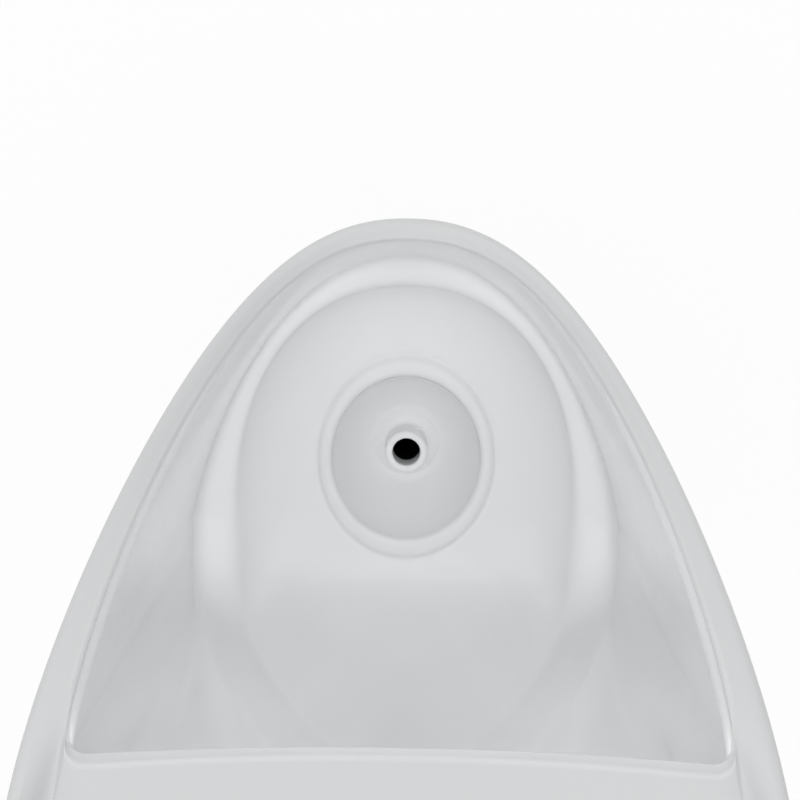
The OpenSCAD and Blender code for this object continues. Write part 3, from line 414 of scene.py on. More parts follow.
# How far each rounding reaches along the skin: at the lip, at the sides and at the rear
INNER_REACH, OUTER_REACH = (8.0, 11.0, 14.0), (9.0, 16.0, 16.0)
SHOULDER_REACH, FOOT_REACH, EDGE_REACH = (5.0, 7.0, 9.0), (2.0, 2.0, 5.0), (5.0, 11.0, 4.5)
REACH_SIDE_SHARE, REACH_REAR_LEAD = 0.6, 1.5


def reach_at(k, reach):
    side = lerp(reach[0], reach[1], ease(k / (REACH_SIDE_SHARE * N_FRONT)))
    return lerp(side, reach[2], ease((k - K_SIDE + REACH_REAR_LEAD) / REACH_REAR_LEAD))


# Neighbouring bends share the stretch between them, so that their rounds never overlap
def limited(way, bends):
    none = np.zeros(way.shape[1])
    places = [none] + [way[index] for index, room in bends] + [way[-1]]
    rooms = [none] + [room + none for index, room in bends] + [none]
    shares = [np.minimum(1, BEND_SHARE * (places[j + 1] - places[j]) / (rooms[j] + rooms[j + 1]))
              for j in range(len(rooms) - 1)]
    return [(bends[j][0], rooms[j + 1] * np.minimum(shares[j], shares[j + 1])) for j in range(len(bends))]


# A run of loops smoothed across them: each point is the mean of the run within a reach that widens to
# the given reach at each bend, so that corners turn into soft rounds. The counts divide the stretches
# before, in and after each bend.
def soft_run(run, bends, counts):
    path = np.stack(run)
    n = path.shape[1]
    steps = np.linalg.norm(np.diff(path, axis=0), axis=2)
    way = np.concatenate([np.zeros((1, n)), np.cumsum(steps, axis=0)])
    bends = limited(way, bends)
    offsets = np.linspace(-1, 1, SOFT_SAMPLES)
    weights = 1 - offsets ** 2 + SOFT_LEAST
    weights /= weights.sum()
    out = np.empty((sum(counts) + 1, n, 3))
    for i in range(n):
        w = way[:, i]
        at = [0.0] + [w[index] for index, room in bends] + [w[-1]]
        reach = [0.0] + [room[i] for index, room in bends] + [0.0]
        marks = [0.0] + [w[index] + side * room[i] for index, room in bends for side in (-1, 1)] + [w[-1]]
        places = [np.linspace(marks[j], marks[j + 1], c + 1)[:-1] for j, c in enumerate(counts)]
        u = np.concatenate(places + [[w[-1]]])
        near = u[:, None] + np.interp(u, at, reach)[:, None] * offsets[None, :]
        for axis in range(3):
            out[:, i, axis] = (np.interp(near, w, path[:, i, axis]) * weights).sum(axis=1)
    return list(out)


def mirrored(half):
    other = half[-2:0:-1].copy()
    other[:, 0] *= -1
    return np.concatenate([half, other])


# A half loop softened along its own length, more so where it turns up the back wall
def soft_along(half, k):
    loop = mirrored(half)
    steps = np.linalg.norm(np.roll(loop, -1, axis=0) - loop, axis=1)
    way = np.concatenate([[0], np.cumsum(steps)[:-1]])
    weight = (steps + np.roll(steps, 1)) / 2
    turn = ease((k - K_SIDE + TURN_LEAD) / TURN_IN) * (1 - ease((k - K_CORNER) / TURN_OUT))
    sigma = lerp(ALONG_SOFT, TURN_SOFT, turn)
    gap = np.abs(way[None, :] - way[:len(half), None])
    gap = np.minimum(gap, steps.sum() - gap)
    share = np.exp(-0.5 * (gap / sigma[:, None]) ** 2) * weight[None, :]
    soft = share @ loop / share.sum(axis=1, keepdims=True)
    soft[[0, -1], 0] = 0
    return soft


# How many steps the skin has: along each stretch of a half loop, and then from loop to loop
FINE_STEPS = (56, 15, 16, 35)
WELL_STEPS, FLOOR_END, FLOOR_STEPS = 13, 0.955, 60
LEDGE_STEPS, WALL_STEPS, SHOULDER_STEPS, EDGE_STEPS, LAND_STEPS = 12, 30, 8, 8, 39
ROUND_STEPS = (34, 12, 2, 14, 14, 8, 2, 5, 3, 12, 18)
ROLL_STEPS, OUTSIDE_STEPS, FOOT_EDGE_ANGLES = 10, 33, (30, 60, 90)
# Heights of the loops below the foot's straight top, and the radius of the foot's edge
FOOT_LEVELS, FOOT_EDGE_R = (60.0, 120.0), 2.5
# The ring's profile: how far each loop has grown from the well's mouth to the groove, and its height
RING_PROFILE = [(0.0, -2.0), (0.02, -0.6), (0.06, 0.8), (0.12, 1.9), (0.2, 2.6), (0.3, 2.95), (0.45, 3.05),
                (0.6, 2.85), (0.72, 2.4), (0.82, 1.6), (0.9, 0.7), (0.96, 0.0), (1.02, -0.35), (1.09, -0.3),
                (1.17, 0.0), (1.26, 0.25)]


def half_steps():
    marks = (0, N_FRONT, K_SIDE, K_CORNER, K_END)
    parts = [np.linspace(marks[j], marks[j + 1], count + 1)[:-1] for j, count in enumerate(FINE_STEPS)]
    return np.concatenate(parts + [[K_END]])


def stretch(a, b, steps):
    return [lerp(a, b, s) for s in np.linspace(0, 1, steps + 1)[1:]]


# From the groove over the bowl floor, the ledge, the wall and the rim's inner edge to its outer roll
def bowl_loops(k):
    inner, outer = soft_along(inner_crease(k), k), soft_along(outer_crease(k), k)
    shoulder, foot = under_edge(k, INNER_TOP_O, WALL_START_DROP), under_edge(k, OPENING_O, EDGE_DROP)
    roll_o = rim_inset(RIM_ROLL)
    xa, ta = plan(k, roll_o)
    xb, tb = plan(k, OPENING_O)
    za, zb = rim_z_on(ta, roll_o), rim_z_on(tb, OPENING_O)
    edge = pts(xb, tb, zb - deck_dip(xb, tb))
    land = []
    for s in np.linspace(0, 1, LAND_STEPS + 1)[1:]:
        x, t = lerp(xb, xa, s), lerp(tb, ta, s)
        land.append(pts(x, t, lerp(zb, za, s) - deck_dip(x, t)))
    groove = mouth(k, 1, 0)
    run = [scoop(inner, groove, SCOOP_STEEP, s) for s in np.linspace(FLOOR_END, 0, FLOOR_STEPS + 1)]
    bends = []
    for reach, loops in (
            (INNER_REACH, stretch(inner, outer, LEDGE_STEPS)),
            (OUTER_REACH, stretch(outer, shoulder, WALL_STEPS)),
            (SHOULDER_REACH, stretch(shoulder, foot, SHOULDER_STEPS)),
            (FOOT_REACH, stretch(foot, edge, EDGE_STEPS)),
            (EDGE_REACH, land)):
        bends.append((len(run) - 1, reach_at(k, reach)))
        run += loops
    return soft_run(run, bends, ROUND_STEPS)[:-1]


# From the rim's outer roll down the outside and round the edge of the foot
def outside_loops(k):
    loops = []
    for q in np.radians(np.linspace(90, 0, ROLL_STEPS + 1)):
        loops.append(at_top(k, rim_inset(RIM_ROLL * (1 - math.cos(q))), RIM_ROLL * (1 - math.sin(q))))
    for j in np.linspace(1, 0, OUTSIDE_STEPS + 1)[1:]:
        loops.append(outer_at(k, lerp(FOOT_STRAIGHT_Z, roll_z(k), j), 0))
    for z in (*reversed(FOOT_LEVELS), FOOT_EDGE_R):
        loops.append(outer_at(k, z, 0))
    for q in np.radians(FOOT_EDGE_ANGLES):
        loops.append(outer_at(k, FOOT_EDGE_R * (1 - math.sin(q)), FOOT_EDGE_R * (1 - math.cos(q))))
    return loops


# From the inside of the foot up the hollow to the underside of the well
def hollow_loops(k):
    loops = []
    for z in (0.0, *FOOT_LEVELS, FOOT_STRAIGHT_Z, (FOOT_STRAIGHT_Z + HOLLOW_LOW_Z) / 2):
        loops.append(outer_at(k, z, WALL))
    loops.append(stepwise(hollow_outer, k))
    for s in (0, 0.5, 1):
        loops.append(stepwise(lambda kk: hollow_inner(kk, s), k))
    for j in range(N_UNDER + 1):
        loops.append(stepwise(lambda kk: under_bowl(kk, j / N_UNDER), k))
    for w, l, z in ((WELL_HALF_W + SKIN_RUN, WELL_HALF_L + SKIN_RUN, WELL_FLOOR_Z + WALL),
                    (FLOOR_HALF_W + WALL, FLOOR_HALF_L + WALL, WELL_FLOOR_Z - WALL)):
        loops.append(stepwise(lambda kk: oval(round_angle(kk), w, l, z), k))
    return loops


def ceramic_loops(k):
    well = [well_side(k, s) for s in np.linspace(1, 0, WELL_STEPS + 1)[:-1]]
    ring = [mouth(k, grow, dz) for grow, dz in RING_PROFILE]
    return well + ring + bowl_loops(k) + outside_loops(k) + hollow_loops(k)


# Painted light and shade in the ceramic's tone from loop to loop: the rim and the outside are painted darker,
# the walls lighter and the ring a little darker. The loops are counted from the well's floor outward, and a
# fade is the number of loops, or of k's steps for the fade of the ledge's sides, over which a tone comes or
# goes.
RING_IN_LOOP, RING_OUT_LOOP, NICHE_LOOP, LEDGE_LOOP, LEDGE_END_LOOP = 12, 28, 40, 64, 80
WALL_LOOP, SHOULDER_LOOP, RIM_LOOP = 88, 118, 133
RING_IN_FADE, RING_OUT_FADE, NICHE_FADE, LEDGE_FADE, LEDGE_END_FADE, LEDGE_SIDE_FADE = 3, 4, 16, 7, 8, 7
BOWL_TONE, RING_TONE, WALL_TONE, OUTSIDE_TONE = 0.97, 0.94, 1.02, 0.722
PAINTED_SHADING_TONES = [
    (0, BOWL_TONE), (RING_IN_LOOP, BOWL_TONE), (RING_IN_LOOP + RING_IN_FADE, RING_TONE),
    (RING_OUT_LOOP - RING_OUT_FADE, RING_TONE), (RING_OUT_LOOP, BOWL_TONE), (LEDGE_LOOP, BOWL_TONE),
    (WALL_LOOP, WALL_TONE), (SHOULDER_LOOP, WALL_TONE), (RIM_LOOP, OUTSIDE_TONE),
]
# Painted light that the ledge's sides and the niche gain, and painted shade that the ledge's front loses
SIDE_GAIN, NICHE_GAIN, FRONT_LOSS = 0.11, 0.045, 0.01


# Painted light and shade: the tone of each loop at the steps k
def painted_shading_tones(k, count):
    i = np.arange(count)
    tone = np.interp(i, *zip(*PAINTED_SHADING_TONES))[:, None]
    on_ledge = ease((i - LEDGE_LOOP) / LEDGE_FADE)
    ledge = (on_ledge * (1 - ease((i - LEDGE_END_LOOP) / LEDGE_END_FADE)))[:, None]
    niche = (ease((i - NICHE_LOOP) / NICHE_FADE) * (1 - on_ledge))[:, None]
    rear = ease(corner_share(k))
    side = ease(k / LEDGE_SIDE_FADE) * (1 - rear)
    return tone + ledge * (SIDE_GAIN * side - FRONT_LOSS) + niche * rear * NICHE_GAIN


# Meshes and objects. Edges past these angles, in degrees, stay sharp in the shading.
CERAMIC_SHARP, TURNED_SHARP, BEVELLED_SHARP = 40, 35, 30


def outward(mesh):
    bm = bmesh.new()
    bm.from_mesh(mesh)
    bmesh.ops.recalc_face_normals(bm, faces=bm.faces)
    bm.to_mesh(mesh)
    bm.free()
    return mesh


def smooth(mesh, sharp):
    mesh.shade_smooth()
    mesh.set_sharp_from_angle(angle=math.radians(sharp))
    return mesh


def set_values(attribute, values):
    attribute.data.foreach_set("value", values.astype(np.float32))


# The x, y and z of the mesh's points, in mm
def coordinates(mesh):
    flat = np.empty(len(mesh.vertices) * 3)
    mesh.vertices.foreach_get("co", flat)
    return flat.reshape(-1, 3).T / MM


def new_object(name, mesh):
    obj = bpy.data.objects.new(name, mesh)
    bpy.context.scene.collection.objects.link(obj)
    return obj


# The object's mesh as its modifiers leave it. They are then removed.
def modified(obj):
    depsgraph = bpy.context.evaluated_depsgraph_get()
    mesh = bpy.data.meshes.new_from_object(obj.evaluated_get(depsgraph))
    obj.modifiers.clear()
    return mesh


def place(obj, node):
    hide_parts(node)
    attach(obj, "root")
    return obj


# A closed skin through mirrored half loops, with a fan of faces round a cap point at both ends
def loft_mesh(name, loops, tones, first_cap, last_cap):
    rings = [mirrored(half) for half in loops]
    n, m = len(rings[0]), len(rings)
    verts = np.concatenate(rings + [np.array([first_cap, last_cap], dtype=float)])
    verts = (verts - np.array([0, WALL_Y, 0])) * MM
    faces = []
    for i in range(m - 1):
        for j in range(n):
            a, b = i * n + j, i * n + (j + 1) % n
            faces.append((a, a + n, b + n, b))
    for j in range(n):
        faces.append((m * n, j, (j + 1) % n))
        faces.append((m * n + 1, (m - 1) * n + (j + 1) % n, (m - 1) * n + j))
    mesh = bpy.data.meshes.new(name)
    mesh.from_pydata(verts.tolist(), [], faces)
    mesh.update()
    # Each point takes its loop's tone of painted light and shade
    full = np.concatenate([tones, tones[:, -2:0:-1]], axis=1)
    values = np.concatenate([full.ravel(), [full[0, 0], full[-1, 0]]])
    set_values(mesh.attributes.new("painted_shading", "FLOAT", "POINT"), values)
    return outward(mesh)


# The ceramic's openings, as solids to cut away. Each reaches past the faces that it cuts.
PAST = 1.0
HOLE_SEGMENTS, SCREW_SEGMENTS, KEYHOLE_SEGMENTS, SLOT_SEGMENTS, NECK_SEGMENTS = 64, 32, 48, 12, 8
BACK_FROM_Y, BACK_TO_Y = WALL_Y - WALL - 2 * PAST, WALL_Y + PAST


def cylinder_cutter(radius, start, end, segments=HOLE_SEGMENTS):
    start, end = Vector(start) * MM, Vector(end) * MM
    axis = end - start
    bm = bmesh.new()
    bmesh.ops.create_cone(bm, cap_ends=True, segments=segments, radius1=radius * MM, radius2=radius * MM,
                          depth=axis.length)
    turn = axis.to_track_quat("Z", "Y").to_matrix().to_4x4()
    bmesh.ops.transform(bm, matrix=Matrix.Translation((start + end) / 2) @ turn, verts=bm.verts)
    mesh = bpy.data.meshes.new("cutter")
    bm.to_mesh(mesh)
    bm.free()
    return mesh


def slot_cutter(w, low, top, r, y0, y1, cx=0.0, segments=SLOT_SEGMENTS):
    right, left, upper, lower = w / 2 - r, -w / 2 + r, top - r, low + r
    out = []
    for x, z, start in ((right, upper, 0), (left, upper, 90), (left, lower, 180), (right, lower, 270)):
        for i in range(segments + 1):
            angle = math.radians(start + 90 * i / segments)
            out.append((cx + x + r * math.cos(angle), z + r * math.sin(angle)))
    n = len(out)
    verts = [(x * MM, y0 * MM, z * MM) for x, z in out] + [(x * MM, y1 * MM, z * MM) for x, z in out]
    faces = [tuple(range(n)), tuple(range(2 * n - 1, n - 1, -1))]
    faces += [(i, (i + 1) % n, n + (i + 1) % n, n + i) for i in range(n)]
    mesh = bpy.data.meshes.new("cutter")
    mesh.from_pydata(verts, [], faces)
    return outward(mesh)


def back_cutters():
    return [slot_cutter(SERVICE_W, LEDGE_Z, BODY_H - SERVICE_BEAM, SERVICE_R, BACK_FROM_Y, BACK_TO_Y),
            slot_cutter(DOOR_W, -SERVICE_R, LEDGE_Z - DOOR_BEAM, SERVICE_R, BACK_FROM_Y, BACK_TO_Y)]


def fitting_cutters():
    seat_y = NICHE_T + NICHE_SEAT_DEPTH - WALL_Y
    back_y = NICHE_T + WALL - NICHE_BACK_DEPTH - WALL_Y
    well_low_z, well_high_z = WELL_FLOOR_Z - WALL - 2 * PAST, WELL_FLOOR_Z + 2 * PAST
    deck_low_z, deck_seat_z = HOLLOW_TOP_Z - PAST, BODY_H - DECK_SEAT_DEPTH
    side_x = FOOT_HALF_W + PAST
    z = SPREADER_Z
    return [
        cylinder_cutter(WASTE_HOLE_R, (0, WASTE_Y, well_low_z), (0, WASTE_Y, well_high_z)),
        cylinder_cutter(SPREADER_HOLE_R, (0, seat_y - WALL, z), (0, seat_y + 2 * WALL, z)),
        cylinder_cutter(SPREADER_SEAT_R, (0, seat_y - WALL, z), (0, seat_y, z)),
        cylinder_cutter(SPREADER_SEAT_R, (0, back_y, z), (0, back_y + WALL, z)),
        cylinder_cutter(INLET_HOLE_R, (0, INLET_Y, deck_low_z), (0, INLET_Y, BODY_H + 2 * PAST)),
        cylinder_cutter(INLET_SEAT_R, (0, INLET_Y, deck_seat_z), (0, INLET_Y, BODY_H + 3 * PAST)),
        cylinder_cutter(SCREW_HOLE_R, (-side_x, SCREW_Y, SCREW_Z), (side_x, SCREW_Y, SCREW_Z),
                        SCREW_SEGMENTS),
    ]


# A keyhole's slot reaches past the ends of its round, and its corners are a hair under half its width,
# so that no two faces or points coincide
SLOT_PAST, SLOT_HAIR = 0.5, 0.01


def keyhole_cutters():
    z = SPREADER_Z
    slot_r, slot_top = KEYHOLE_NECK / 2 - SLOT_HAIR, z + KEYHOLE_UP + KEYHOLE_NECK / 2
    out = []
    for x in (-KEYHOLE_X, KEYHOLE_X):
        out.append(cylinder_cutter(KEYHOLE_NECK, (x, BACK_FROM_Y, z), (x, BACK_TO_Y, z), KEYHOLE_SEGMENTS))
        out.append(slot_cutter(KEYHOLE_NECK, z, slot_top, slot_r, BACK_FROM_Y - SLOT_PAST,
                               BACK_TO_Y + SLOT_PAST, x, NECK_SEGMENTS))
    return out


def cut(obj, cutters):
    joined = bmesh.new()
    for mesh in cutters:
        joined.from_mesh(mesh)
    mesh = bpy.data.meshes.new("cutters")
    joined.to_mesh(mesh)
    joined.free()
    tool = new_object("cutters", mesh)
    mod = obj.modifiers.new("cut", "BOOLEAN")
    mod.operation, mod.solver, mod.object = "DIFFERENCE", "EXACT", tool
    mod.use_self = True
    obj.data = modified(obj)
    bpy.data.objects.remove(tool)


# The cuts' own points come without a tone of painted light and shade, so they take that of the bowl or of the
# outside
NICHE_CUT_REACH, LEAST_TONE = 25, OUTSIDE_TONE - 0.01


def tone_cut_faces(mesh):
    tones = np.empty(len(mesh.vertices), dtype=np.float32)
    mesh.attributes["painted_shading"].data.foreach_get("value", tones)
    x, y, z = coordinates(mesh)
    in_well = (np.hypot(x, y - WASTE_Y) < WELL_HALF_W) & (z > WELL_FLOOR_Z - PAST)
    near_spreader = (np.abs(z - SPREADER_Z) < NICHE_CUT_REACH) & (np.abs(x) < NICHE_CUT_REACH)
    in_niche = near_spreader & (y < NICHE_T + WALL / 2 - WALL_Y)
    around = np.where(in_well | in_niche, BOWL_TONE, OUTSIDE_TONE)
    set_values(mesh.attributes["painted_shading"], np.where(tones < LEAST_TONE, around, tones))


def make_ceramic():
    k = half_steps()
    loops = ceramic_loops(k)
    mesh = loft_mesh("ceramic", loops, painted_shading_tones(k, len(loops)), (0, WELL_T, WELL_FLOOR_Z),
                     (0, WELL_T, WELL_FLOOR_Z - WALL))
    obj = new_object("ceramic", mesh)
    cut(obj, back_cutters() + fitting_cutters() + keyhole_cutters())
    tone_cut_faces(obj.data)
    smooth(obj.data, CERAMIC_SHARP)
    return place(obj, "ceramic_body")


CORNER_POINTS, CORNER_SHARE, TURN_SEGMENTS = 7, 0.49, 96


# A closed profile of (radius, height, corner radius) points, its corners turned into arcs that take
# less than half of each side
def rounded(points):
    out = []
    n = len(points)
    for i in range(n):
        p = np.array(points[i][:2])
        a, b = np.array(points[i - 1][:2]) - p, np.array(points[(i + 1) % n][:2]) - p
        la, lb = np.linalg.norm(a), np.linalg.norm(b)
        r = points[i][2]
        if r == 0:
            out.append(tuple(p))
            continue
        half = math.acos(np.clip(np.dot(a, b) / la / lb, -1, 1)) / 2
        trim = min(r / math.tan(half), CORNER_SHARE * la, CORNER_SHARE * lb)
        s, e = p + a / la * trim, p + b / lb * trim
        for q in np.linspace(0, 1, CORNER_POINTS):
            out.append(tuple(s * (1 - q) ** 2 + p * 2 * q * (1 - q) + e * q * q))
    return out


def on_thread(r, thread):
    return abs(r - thread["r"]) < THREAD_NEAR


# Straight stretches at the thread's radius, cut into short steps that the helix can bend
def threaded(profile, thread):
    out = []
    for i, (r, z) in enumerate(profile):
        r0, z0 = profile[i - 1]
        if on_thread(r, thread) and on_thread(r0, thread):
            count = int(abs(z - z0) / thread["pitch"] * THREAD_STEPS)
            out += [(r, lerp(z0, z, j / count)) for j in range(1, count)]
        out.append((r, z))
    return out


# A profile turned about a vertical axis at (0, y). Along the thread the radius dips in a helix.
def turned(name, profile, y, thread):
    profile = threaded(profile, thread)
    n = len(profile)
    verts, faces = [], []
    for i in range(TURN_SEGMENTS):
        angle = 2 * math.pi * i / TURN_SEGMENTS
        for r, z in profile:
            if thread["low"] < z < thread["high"] and on_thread(r, thread):
                turn = ((z - thread["low"]) / thread["pitch"] + i / TURN_SEGMENTS) % 1
                r -= thread["depth"] * abs(2 * turn - 1)
            verts.append((r * math.cos(angle) * MM, (y + r * math.sin(angle)) * MM, z * MM))
    for i in range(TURN_SEGMENTS):
        for j in range(n):
            a, b = i * n, (i + 1) % TURN_SEGMENTS * n
            faces.append((a + j, b + j, b + (j + 1) % n, a + (j + 1) % n))
    mesh = bpy.data.meshes.new(name)
    mesh.from_pydata(verts, [], faces)
    return smooth(outward(mesh), TURNED_SHARP)


# The standpipe's profile runs from the foot of the shank up the outside and down the bore
def make_standpipe():
    depths = np.arange(BORE_START, BORE_DARK + BORE_START, BORE_STEP)
    bore = [(PIPE_BORE_R, PIPE_TOP_Z - depth, 0) for depth in depths]
    profile = rounded([
        (SHANK_BORE_R, SHANK_FOOT_Z, BORE_ROUND), (SHANK_R, SHANK_FOOT_Z, SHANK_FOOT_ROUND),
        (SHANK_R, FLANGE_LOW_Z, 0), (FLANGE_R + SKIRT_GAP, FLANGE_LOW_Z, 0),
        (FLANGE_R + SKIRT_GAP, WELL_FLOOR_Z + SKIRT_GAP, 0),
        (FLANGE_R + SKIRT_W, WELL_FLOOR_Z + SKIRT_GAP, 0),
        (FLANGE_R + CONE_START, FLANGE_LOW_Z + CONE_START, CONE_LOW_ROUND),
        (PIPE_R, FLANGE_TOP_Z, CONE_HIGH_ROUND), (PIPE_R, PIPE_TOP_Z, PIPE_OUTER_ROUND),
        (PIPE_BORE_R, PIPE_TOP_Z, PIPE_INNER_ROUND), *bore,
        (PIPE_BORE_R, SHANK_BORE_Z, BORE_ROUND), (SHANK_BORE_R, SHANK_BORE_Z, BORE_ROUND)])
    thread = {"low": SHANK_FOOT_Z + THREAD_CLEAR, "high": WELL_FLOOR_Z - WALL - THREAD_CLEAR,
              "r": SHANK_R, "depth": THREAD_DEPTH, "pitch": THREAD_PITCH}
    mesh = turned("standpipe", profile, WASTE_Y, thread)
    # Painted shade: how far down the bore each point lies, for its darkened colour
    x, y, z = coordinates(mesh)
    inside = np.hypot(x, y - WASTE_Y) < SHANK_BORE_R + BORE_NEAR
    depth = np.where(inside, np.clip((PIPE_TOP_Z - BORE_LIGHT - z) / BORE_DARK, 0, 1), 0)
    set_values(mesh.attributes.new("bore", "FLOAT", "POINT"), depth)
    return place(new_object("standpipe", mesh), "waste_standpipe")


# Bevels start at this angle between faces, in degrees. Points closer than SAME_POINT metres and faces
# within SAME_PLANE degrees are joined first.
BEVEL_FROM_ANGLE, BEVEL_SEGMENTS, SAME_POINT, SAME_PLANE = 38, 3, 2e-5, 1
# The nodes whose sharp edges are broken, and how wide, in mm
SOFT_EDGES = {
    "waste_backnut": 0.8, "trap_inlet_nut": 0.8, "trap_body": 1.0, "trap_cup": 1.0, "trap_outlet_nut": 0.8,
    "floor_socket_seal": 0.8, "spreader_nut": 0.6, "inlet_spud": 0.6, "spud_nut": 0.8,
    "flush_spreader": 0.6, "hose_clamps": 0.3, "floor_brackets": 0.5, "bracket_nuts": 0.4, "side_screws": 0.4,
    "screw_caps": 0.6,
}
SLOTS = {s["node"]: s["material_slot"] for s in frame["record"]["subparts"]}


# The node's own shape with its flat faces joined and its sharp edges broken by a small round
def bevelled(node, width):
    bm = bmesh.new()
    bm.from_mesh(frame["nodes"][node].data)
    bmesh.ops.remove_doubles(bm, verts=bm.verts, dist=SAME_POINT)
    bmesh.ops.dissolve_limit(bm, angle_limit=math.radians(SAME_PLANE), verts=bm.verts, edges=bm.edges)
    mesh = bpy.data.meshes.new(node + "_soft")
    bm.to_mesh(mesh)
    bm.free()
    obj = new_object(node + "_soft", mesh)
    mod = obj.modifiers.new("bevel", "BEVEL")
    mod.width, mod.segments = width * MM, BEVEL_SEGMENTS
    mod.limit_method, mod.angle_limit = "ANGLE", math.radians(BEVEL_FROM_ANGLE)
    mod.use_clamp_overlap = True
    obj.data = smooth(outward(modified(obj)), BEVELLED_SHARP)
    return place(obj, node)


# Materials. Their noises all have the same roughness, and their tones change between these stops.
NOISE_ROUGHNESS, ROUGH_DETAIL, BUMP_DETAIL, DARK_STOP, LIGHT_STOP = 0.5, 3.0, 2.0, 0.3, 0.7


class Nodes:
    def __init__(self, name):
        self.mat = bpy.data.materials.new(name)
        self.mat.use_nodes = True
        self.tree = self.mat.node_tree
        self.bsdf = self.tree.nodes["Principled BSDF"]

    def add(self, kind, **settings):
        node = self.tree.nodes.new(kind)
        for key, value in settings.items():
            setattr(node, key, value)
        return node

    def link(self, a, b):
        self.tree.links.new(a, b)

    def noise(self, scale, detail):
        coords = self.add("ShaderNodeTexCoord")
        tex = self.add("ShaderNodeTexNoise")
        tex.inputs["Scale"].default_value = scale
        tex.inputs["Detail"].default_value = detail
        tex.inputs["Roughness"].default_value = NOISE_ROUGHNESS
        self.link(coords.outputs["Object"], tex.inputs["Vector"])
        return tex.outputs["Fac"]

    def ramp(self, fac, stops):
        node = self.add("ShaderNodeValToRGB")
        ramp = node.color_ramp
        while len(ramp.elements) < len(stops):
            ramp.elements.new(0.5)
        for element, (position, colour) in zip(ramp.elements, stops):
            element.position = position
            element.color = (*colour, 1)
        self.link(fac, node.inputs["Fac"])
        return node.outputs["Color"]

    def patches(self, scale, detail, dark, light):
        return self.ramp(self.noise(scale, detail), [(DARK_STOP, dark), (LIGHT_STOP, light)])

    def rough(self, scale, low, high):
        node = self.add("ShaderNodeMapRange")
        node.inputs["To Min"].default_value = low
        node.inputs["To Max"].default_value = high
        self.link(self.noise(scale, ROUGH_DETAIL), node.inputs["Value"])
        self.link(node.outputs["Result"], self.bsdf.inputs["Roughness"])

    def bump(self, scale, strength, distance):
        node = self.add("ShaderNodeBump")
        node.inputs["Strength"].default_value = strength
        node.inputs["Distance"].default_value = distance
        self.link(self.noise(scale, BUMP_DETAIL), node.inputs["Height"])
        self.link(node.outputs["Normal"], self.bsdf.inputs["Normal"])


def wear(obj, material):
    obj.data.materials.clear()
    obj.data.materials.append(material)


# Glazed white ceramic, its colour multiplied by the painted light and shade that follows the skin's loops
def ceramic_material():
    n = Nodes("glazed_ceramic")
    white = n.patches(scale=6.0, detail=3.0, dark=(0.897, 0.904, 0.911), light=(0.907, 0.914, 0.921))
    # Painted light and shade, stored on the skin's points
    painted_shading = n.add("ShaderNodeAttribute", attribute_name="painted_shading")
    mix = n.add("ShaderNodeVectorMath", operation="MULTIPLY")
    n.link(white, mix.inputs[0])
    n.link(painted_shading.outputs["Fac"], mix.inputs[1])
    n.link(mix.outputs["Vector"], n.bsdf.inputs["Base Color"])
    n.rough(scale=40.0, low=0.07, high=0.13)
    n.bump(scale=14.0, strength=0.12, distance=0.001)
    n.bsdf.inputs["IOR"].default_value = 1.5
    return n.mat


# Painted shade in the bore: how its colour darkens with depth, in shares of BORE_DARK
BORE_PAINTED_SHADES = [(0, (1, 1, 1)), (0.6, (0.94, 0.94, 0.94)), (0.78, (0.012, 0.012, 0.016))]


def standpipe_material():
    n = Nodes("standpipe_plastic")
    white = n.patches(scale=25.0, detail=4.0, dark=(0.865, 0.872, 0.878), light=(0.880, 0.886, 0.892))
    # Painted shade, darkening the bore's colour with depth
    bore = n.add("ShaderNodeAttribute", attribute_name="bore")
    shade = n.ramp(bore.outputs["Fac"], BORE_PAINTED_SHADES)
    mix = n.add("ShaderNodeMix", data_type="RGBA", blend_type="MULTIPLY")
    mix.inputs["Factor"].default_value = 1
    n.link(white, mix.inputs["A"])
    n.link(shade, mix.inputs["B"])
    n.link(mix.outputs["Result"], n.bsdf.inputs["Base Color"])
    n.rough(scale=100.0, low=0.22, high=0.30)
    n.bump(scale=900.0, strength=0.04, distance=0.0003)
    return n.mat


# Dark and light tone, lowest and highest roughness, metallic, and the scale and strength of the bump
PLAIN = {
    "white_plastic": ((0.80, 0.80, 0.79), (0.84, 0.84, 0.83), (0.22, 0.32), 0.0, 900.0, 0.05),
    "grey_plastic": ((0.15, 0.16, 0.17), (0.19, 0.20, 0.21), (0.4, 0.55), 0.0, 900.0, 0.05),
    "white_rubber": ((0.84, 0.85, 0.86), (0.86, 0.87, 0.88), (0.5, 0.6), 0.0, 900.0, 0.05),
    "black_rubber": ((0.018, 0.018, 0.02), (0.03, 0.03, 0.032), (0.6, 0.75), 0.0, 900.0, 0.05),
    "chrome": ((0.72, 0.73, 0.75), (0.78, 0.79, 0.80), (0.06, 0.14), 1.0, 600.0, 0.02),
    "zinc_steel": ((0.42, 0.43, 0.45), (0.55, 0.56, 0.58), (0.3, 0.5), 1.0, 500.0, 0.15),
}


def plain_material(name, dark, light, rough, metallic, bump_scale, bump_strength):
    n = Nodes(name)
    n.link(n.patches(scale=25.0, detail=4.0, dark=dark, light=light), n.bsdf.inputs["Base Color"])
    n.rough(scale=100.0, low=rough[0], high=rough[1])
    n.bump(scale=bump_scale, strength=bump_strength, distance=0.0004)
    n.bsdf.inputs["Metallic"].default_value = metallic
    return n.mat


def dress_nodes(pieces):
    mats = {name: plain_material(name, *look) for name, look in PLAIN.items()}
    for name, obj in frame["nodes"].items():
        if SLOTS[name] in mats:
            wear(obj, mats[SLOTS[name]])
    for name, obj in pieces.items():
        wear(obj, mats[SLOTS[name]])
    # The photograph shows no dark ring round the standpipe, so its seal is a pale one
    wear(frame["nodes"]["waste_seal"], mats["white_rubber"])


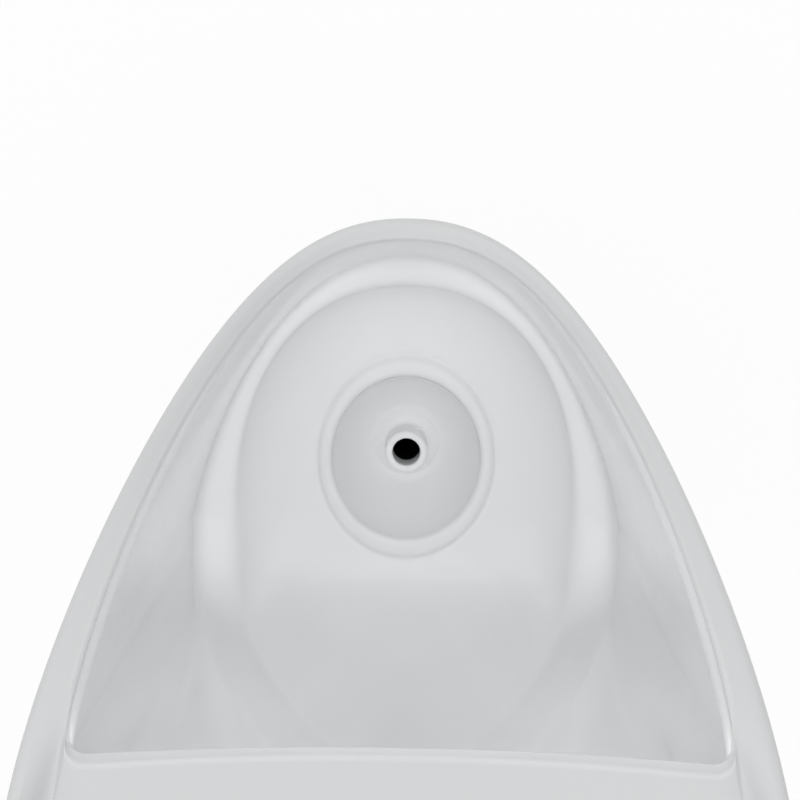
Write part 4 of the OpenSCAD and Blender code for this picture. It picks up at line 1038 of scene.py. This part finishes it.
# The studio: lamps by name, place and size in metres, and power in watts
LAMPS = [
    ("top", (0, 0, 9), (7, 7), 175),
    ("front", (0, -6, 4), (6, 4), 69),
    ("left", (6, 0, 3), (5, 4), 39),
    ("key", (0, -1.6, 8), (0.8, 0.8), 104),
]
LAMP_AIM = (0, 0, 0.6)
WORLD_COLOUR, WORLD_LEVEL = (0.99, 0.993, 0.997, 1), 0.482
FLOOR_COLOUR, FLOOR_ROUGH, FLOOR_GLOW, FLOOR_HALF = (0.95, 0.95, 0.95, 1), 0.6, 0.9, 6


def area_light(name, at, size, power):
    data = bpy.data.lights.new(name, "AREA")
    data.shape = "RECTANGLE"
    data.size, data.size_y = size
    data.energy = power
    obj = bpy.data.objects.new(name, data)
    bpy.context.scene.collection.objects.link(obj)
    obj.location = at
    obj.rotation_euler = (Vector(LAMP_AIM) - Vector(at)).to_track_quat("-Z", "Y").to_euler()
    obj.visible_glossy = False


# White to the camera, to reflections and through glass, and a plain level of light to the object
def make_world():
    world = bpy.data.worlds.new("studio")
    bpy.context.scene.world = world
    world.use_nodes = True
    nodes, links = world.node_tree.nodes, world.node_tree.links
    nodes.clear()
    path = nodes.new("ShaderNodeLightPath")
    seen = path.outputs["Is Camera Ray"]
    for ray in ("Is Glossy Ray", "Is Transmission Ray"):
        either = nodes.new("ShaderNodeMath")
        either.operation = "MAXIMUM"
        links.new(seen, either.inputs[0])
        links.new(path.outputs[ray], either.inputs[1])
        seen = either.outputs[0]
    dim = nodes.new("ShaderNodeBackground")
    dim.inputs["Color"].default_value = WORLD_COLOUR
    dim.inputs["Strength"].default_value = WORLD_LEVEL
    white = nodes.new("ShaderNodeBackground")
    white.inputs["Color"].default_value = (1, 1, 1, 1)
    mix = nodes.new("ShaderNodeMixShader")
    out = nodes.new("ShaderNodeOutputWorld")
    links.new(seen, mix.inputs[0])
    links.new(dim.outputs[0], mix.inputs[1])
    links.new(white.outputs[0], mix.inputs[2])
    links.new(mix.outputs[0], out.inputs[0])


# A floor that is nearly white to the camera and keeps the object's shadow
def make_floor():
    bm = bmesh.new()
    bmesh.ops.create_grid(bm, x_segments=1, y_segments=1, size=FLOOR_HALF)
    mesh = bpy.data.meshes.new("floor")
    bm.to_mesh(mesh)
    bm.free()
    floor = new_object("floor", mesh)
    n = Nodes("floor")
    n.bsdf.inputs["Base Color"].default_value = FLOOR_COLOUR
    n.bsdf.inputs["Roughness"].default_value = FLOOR_ROUGH
    glow = n.add("ShaderNodeEmission")
    glow.inputs["Strength"].default_value = 1.0
    path = n.add("ShaderNodeLightPath")
    mix = n.add("ShaderNodeMixShader")
    part = n.add("ShaderNodeMath", operation="MULTIPLY")
    part.inputs[1].default_value = FLOOR_GLOW
    n.link(path.outputs["Is Camera Ray"], part.inputs[0])
    n.link(part.outputs[0], mix.inputs[0])
    n.link(n.bsdf.outputs[0], mix.inputs[1])
    n.link(glow.outputs[0], mix.inputs[2])
    n.link(mix.outputs[0], n.tree.nodes["Material Output"].inputs["Surface"])
    floor.data.materials.append(n.mat)


def make_studio():
    bpy.context.scene.view_settings.view_transform = "Standard"
    make_world()
    for name, at, size, power in LAMPS:
        area_light(name, at, size, power)
    make_floor()


make_camera()
wear(make_ceramic(), ceramic_material())
standpipe = make_standpipe()
pieces = {node: bevelled(node, width) for node, width in SOFT_EDGES.items()}
dress_nodes(pieces)
wear(standpipe, standpipe_material())
make_studio()
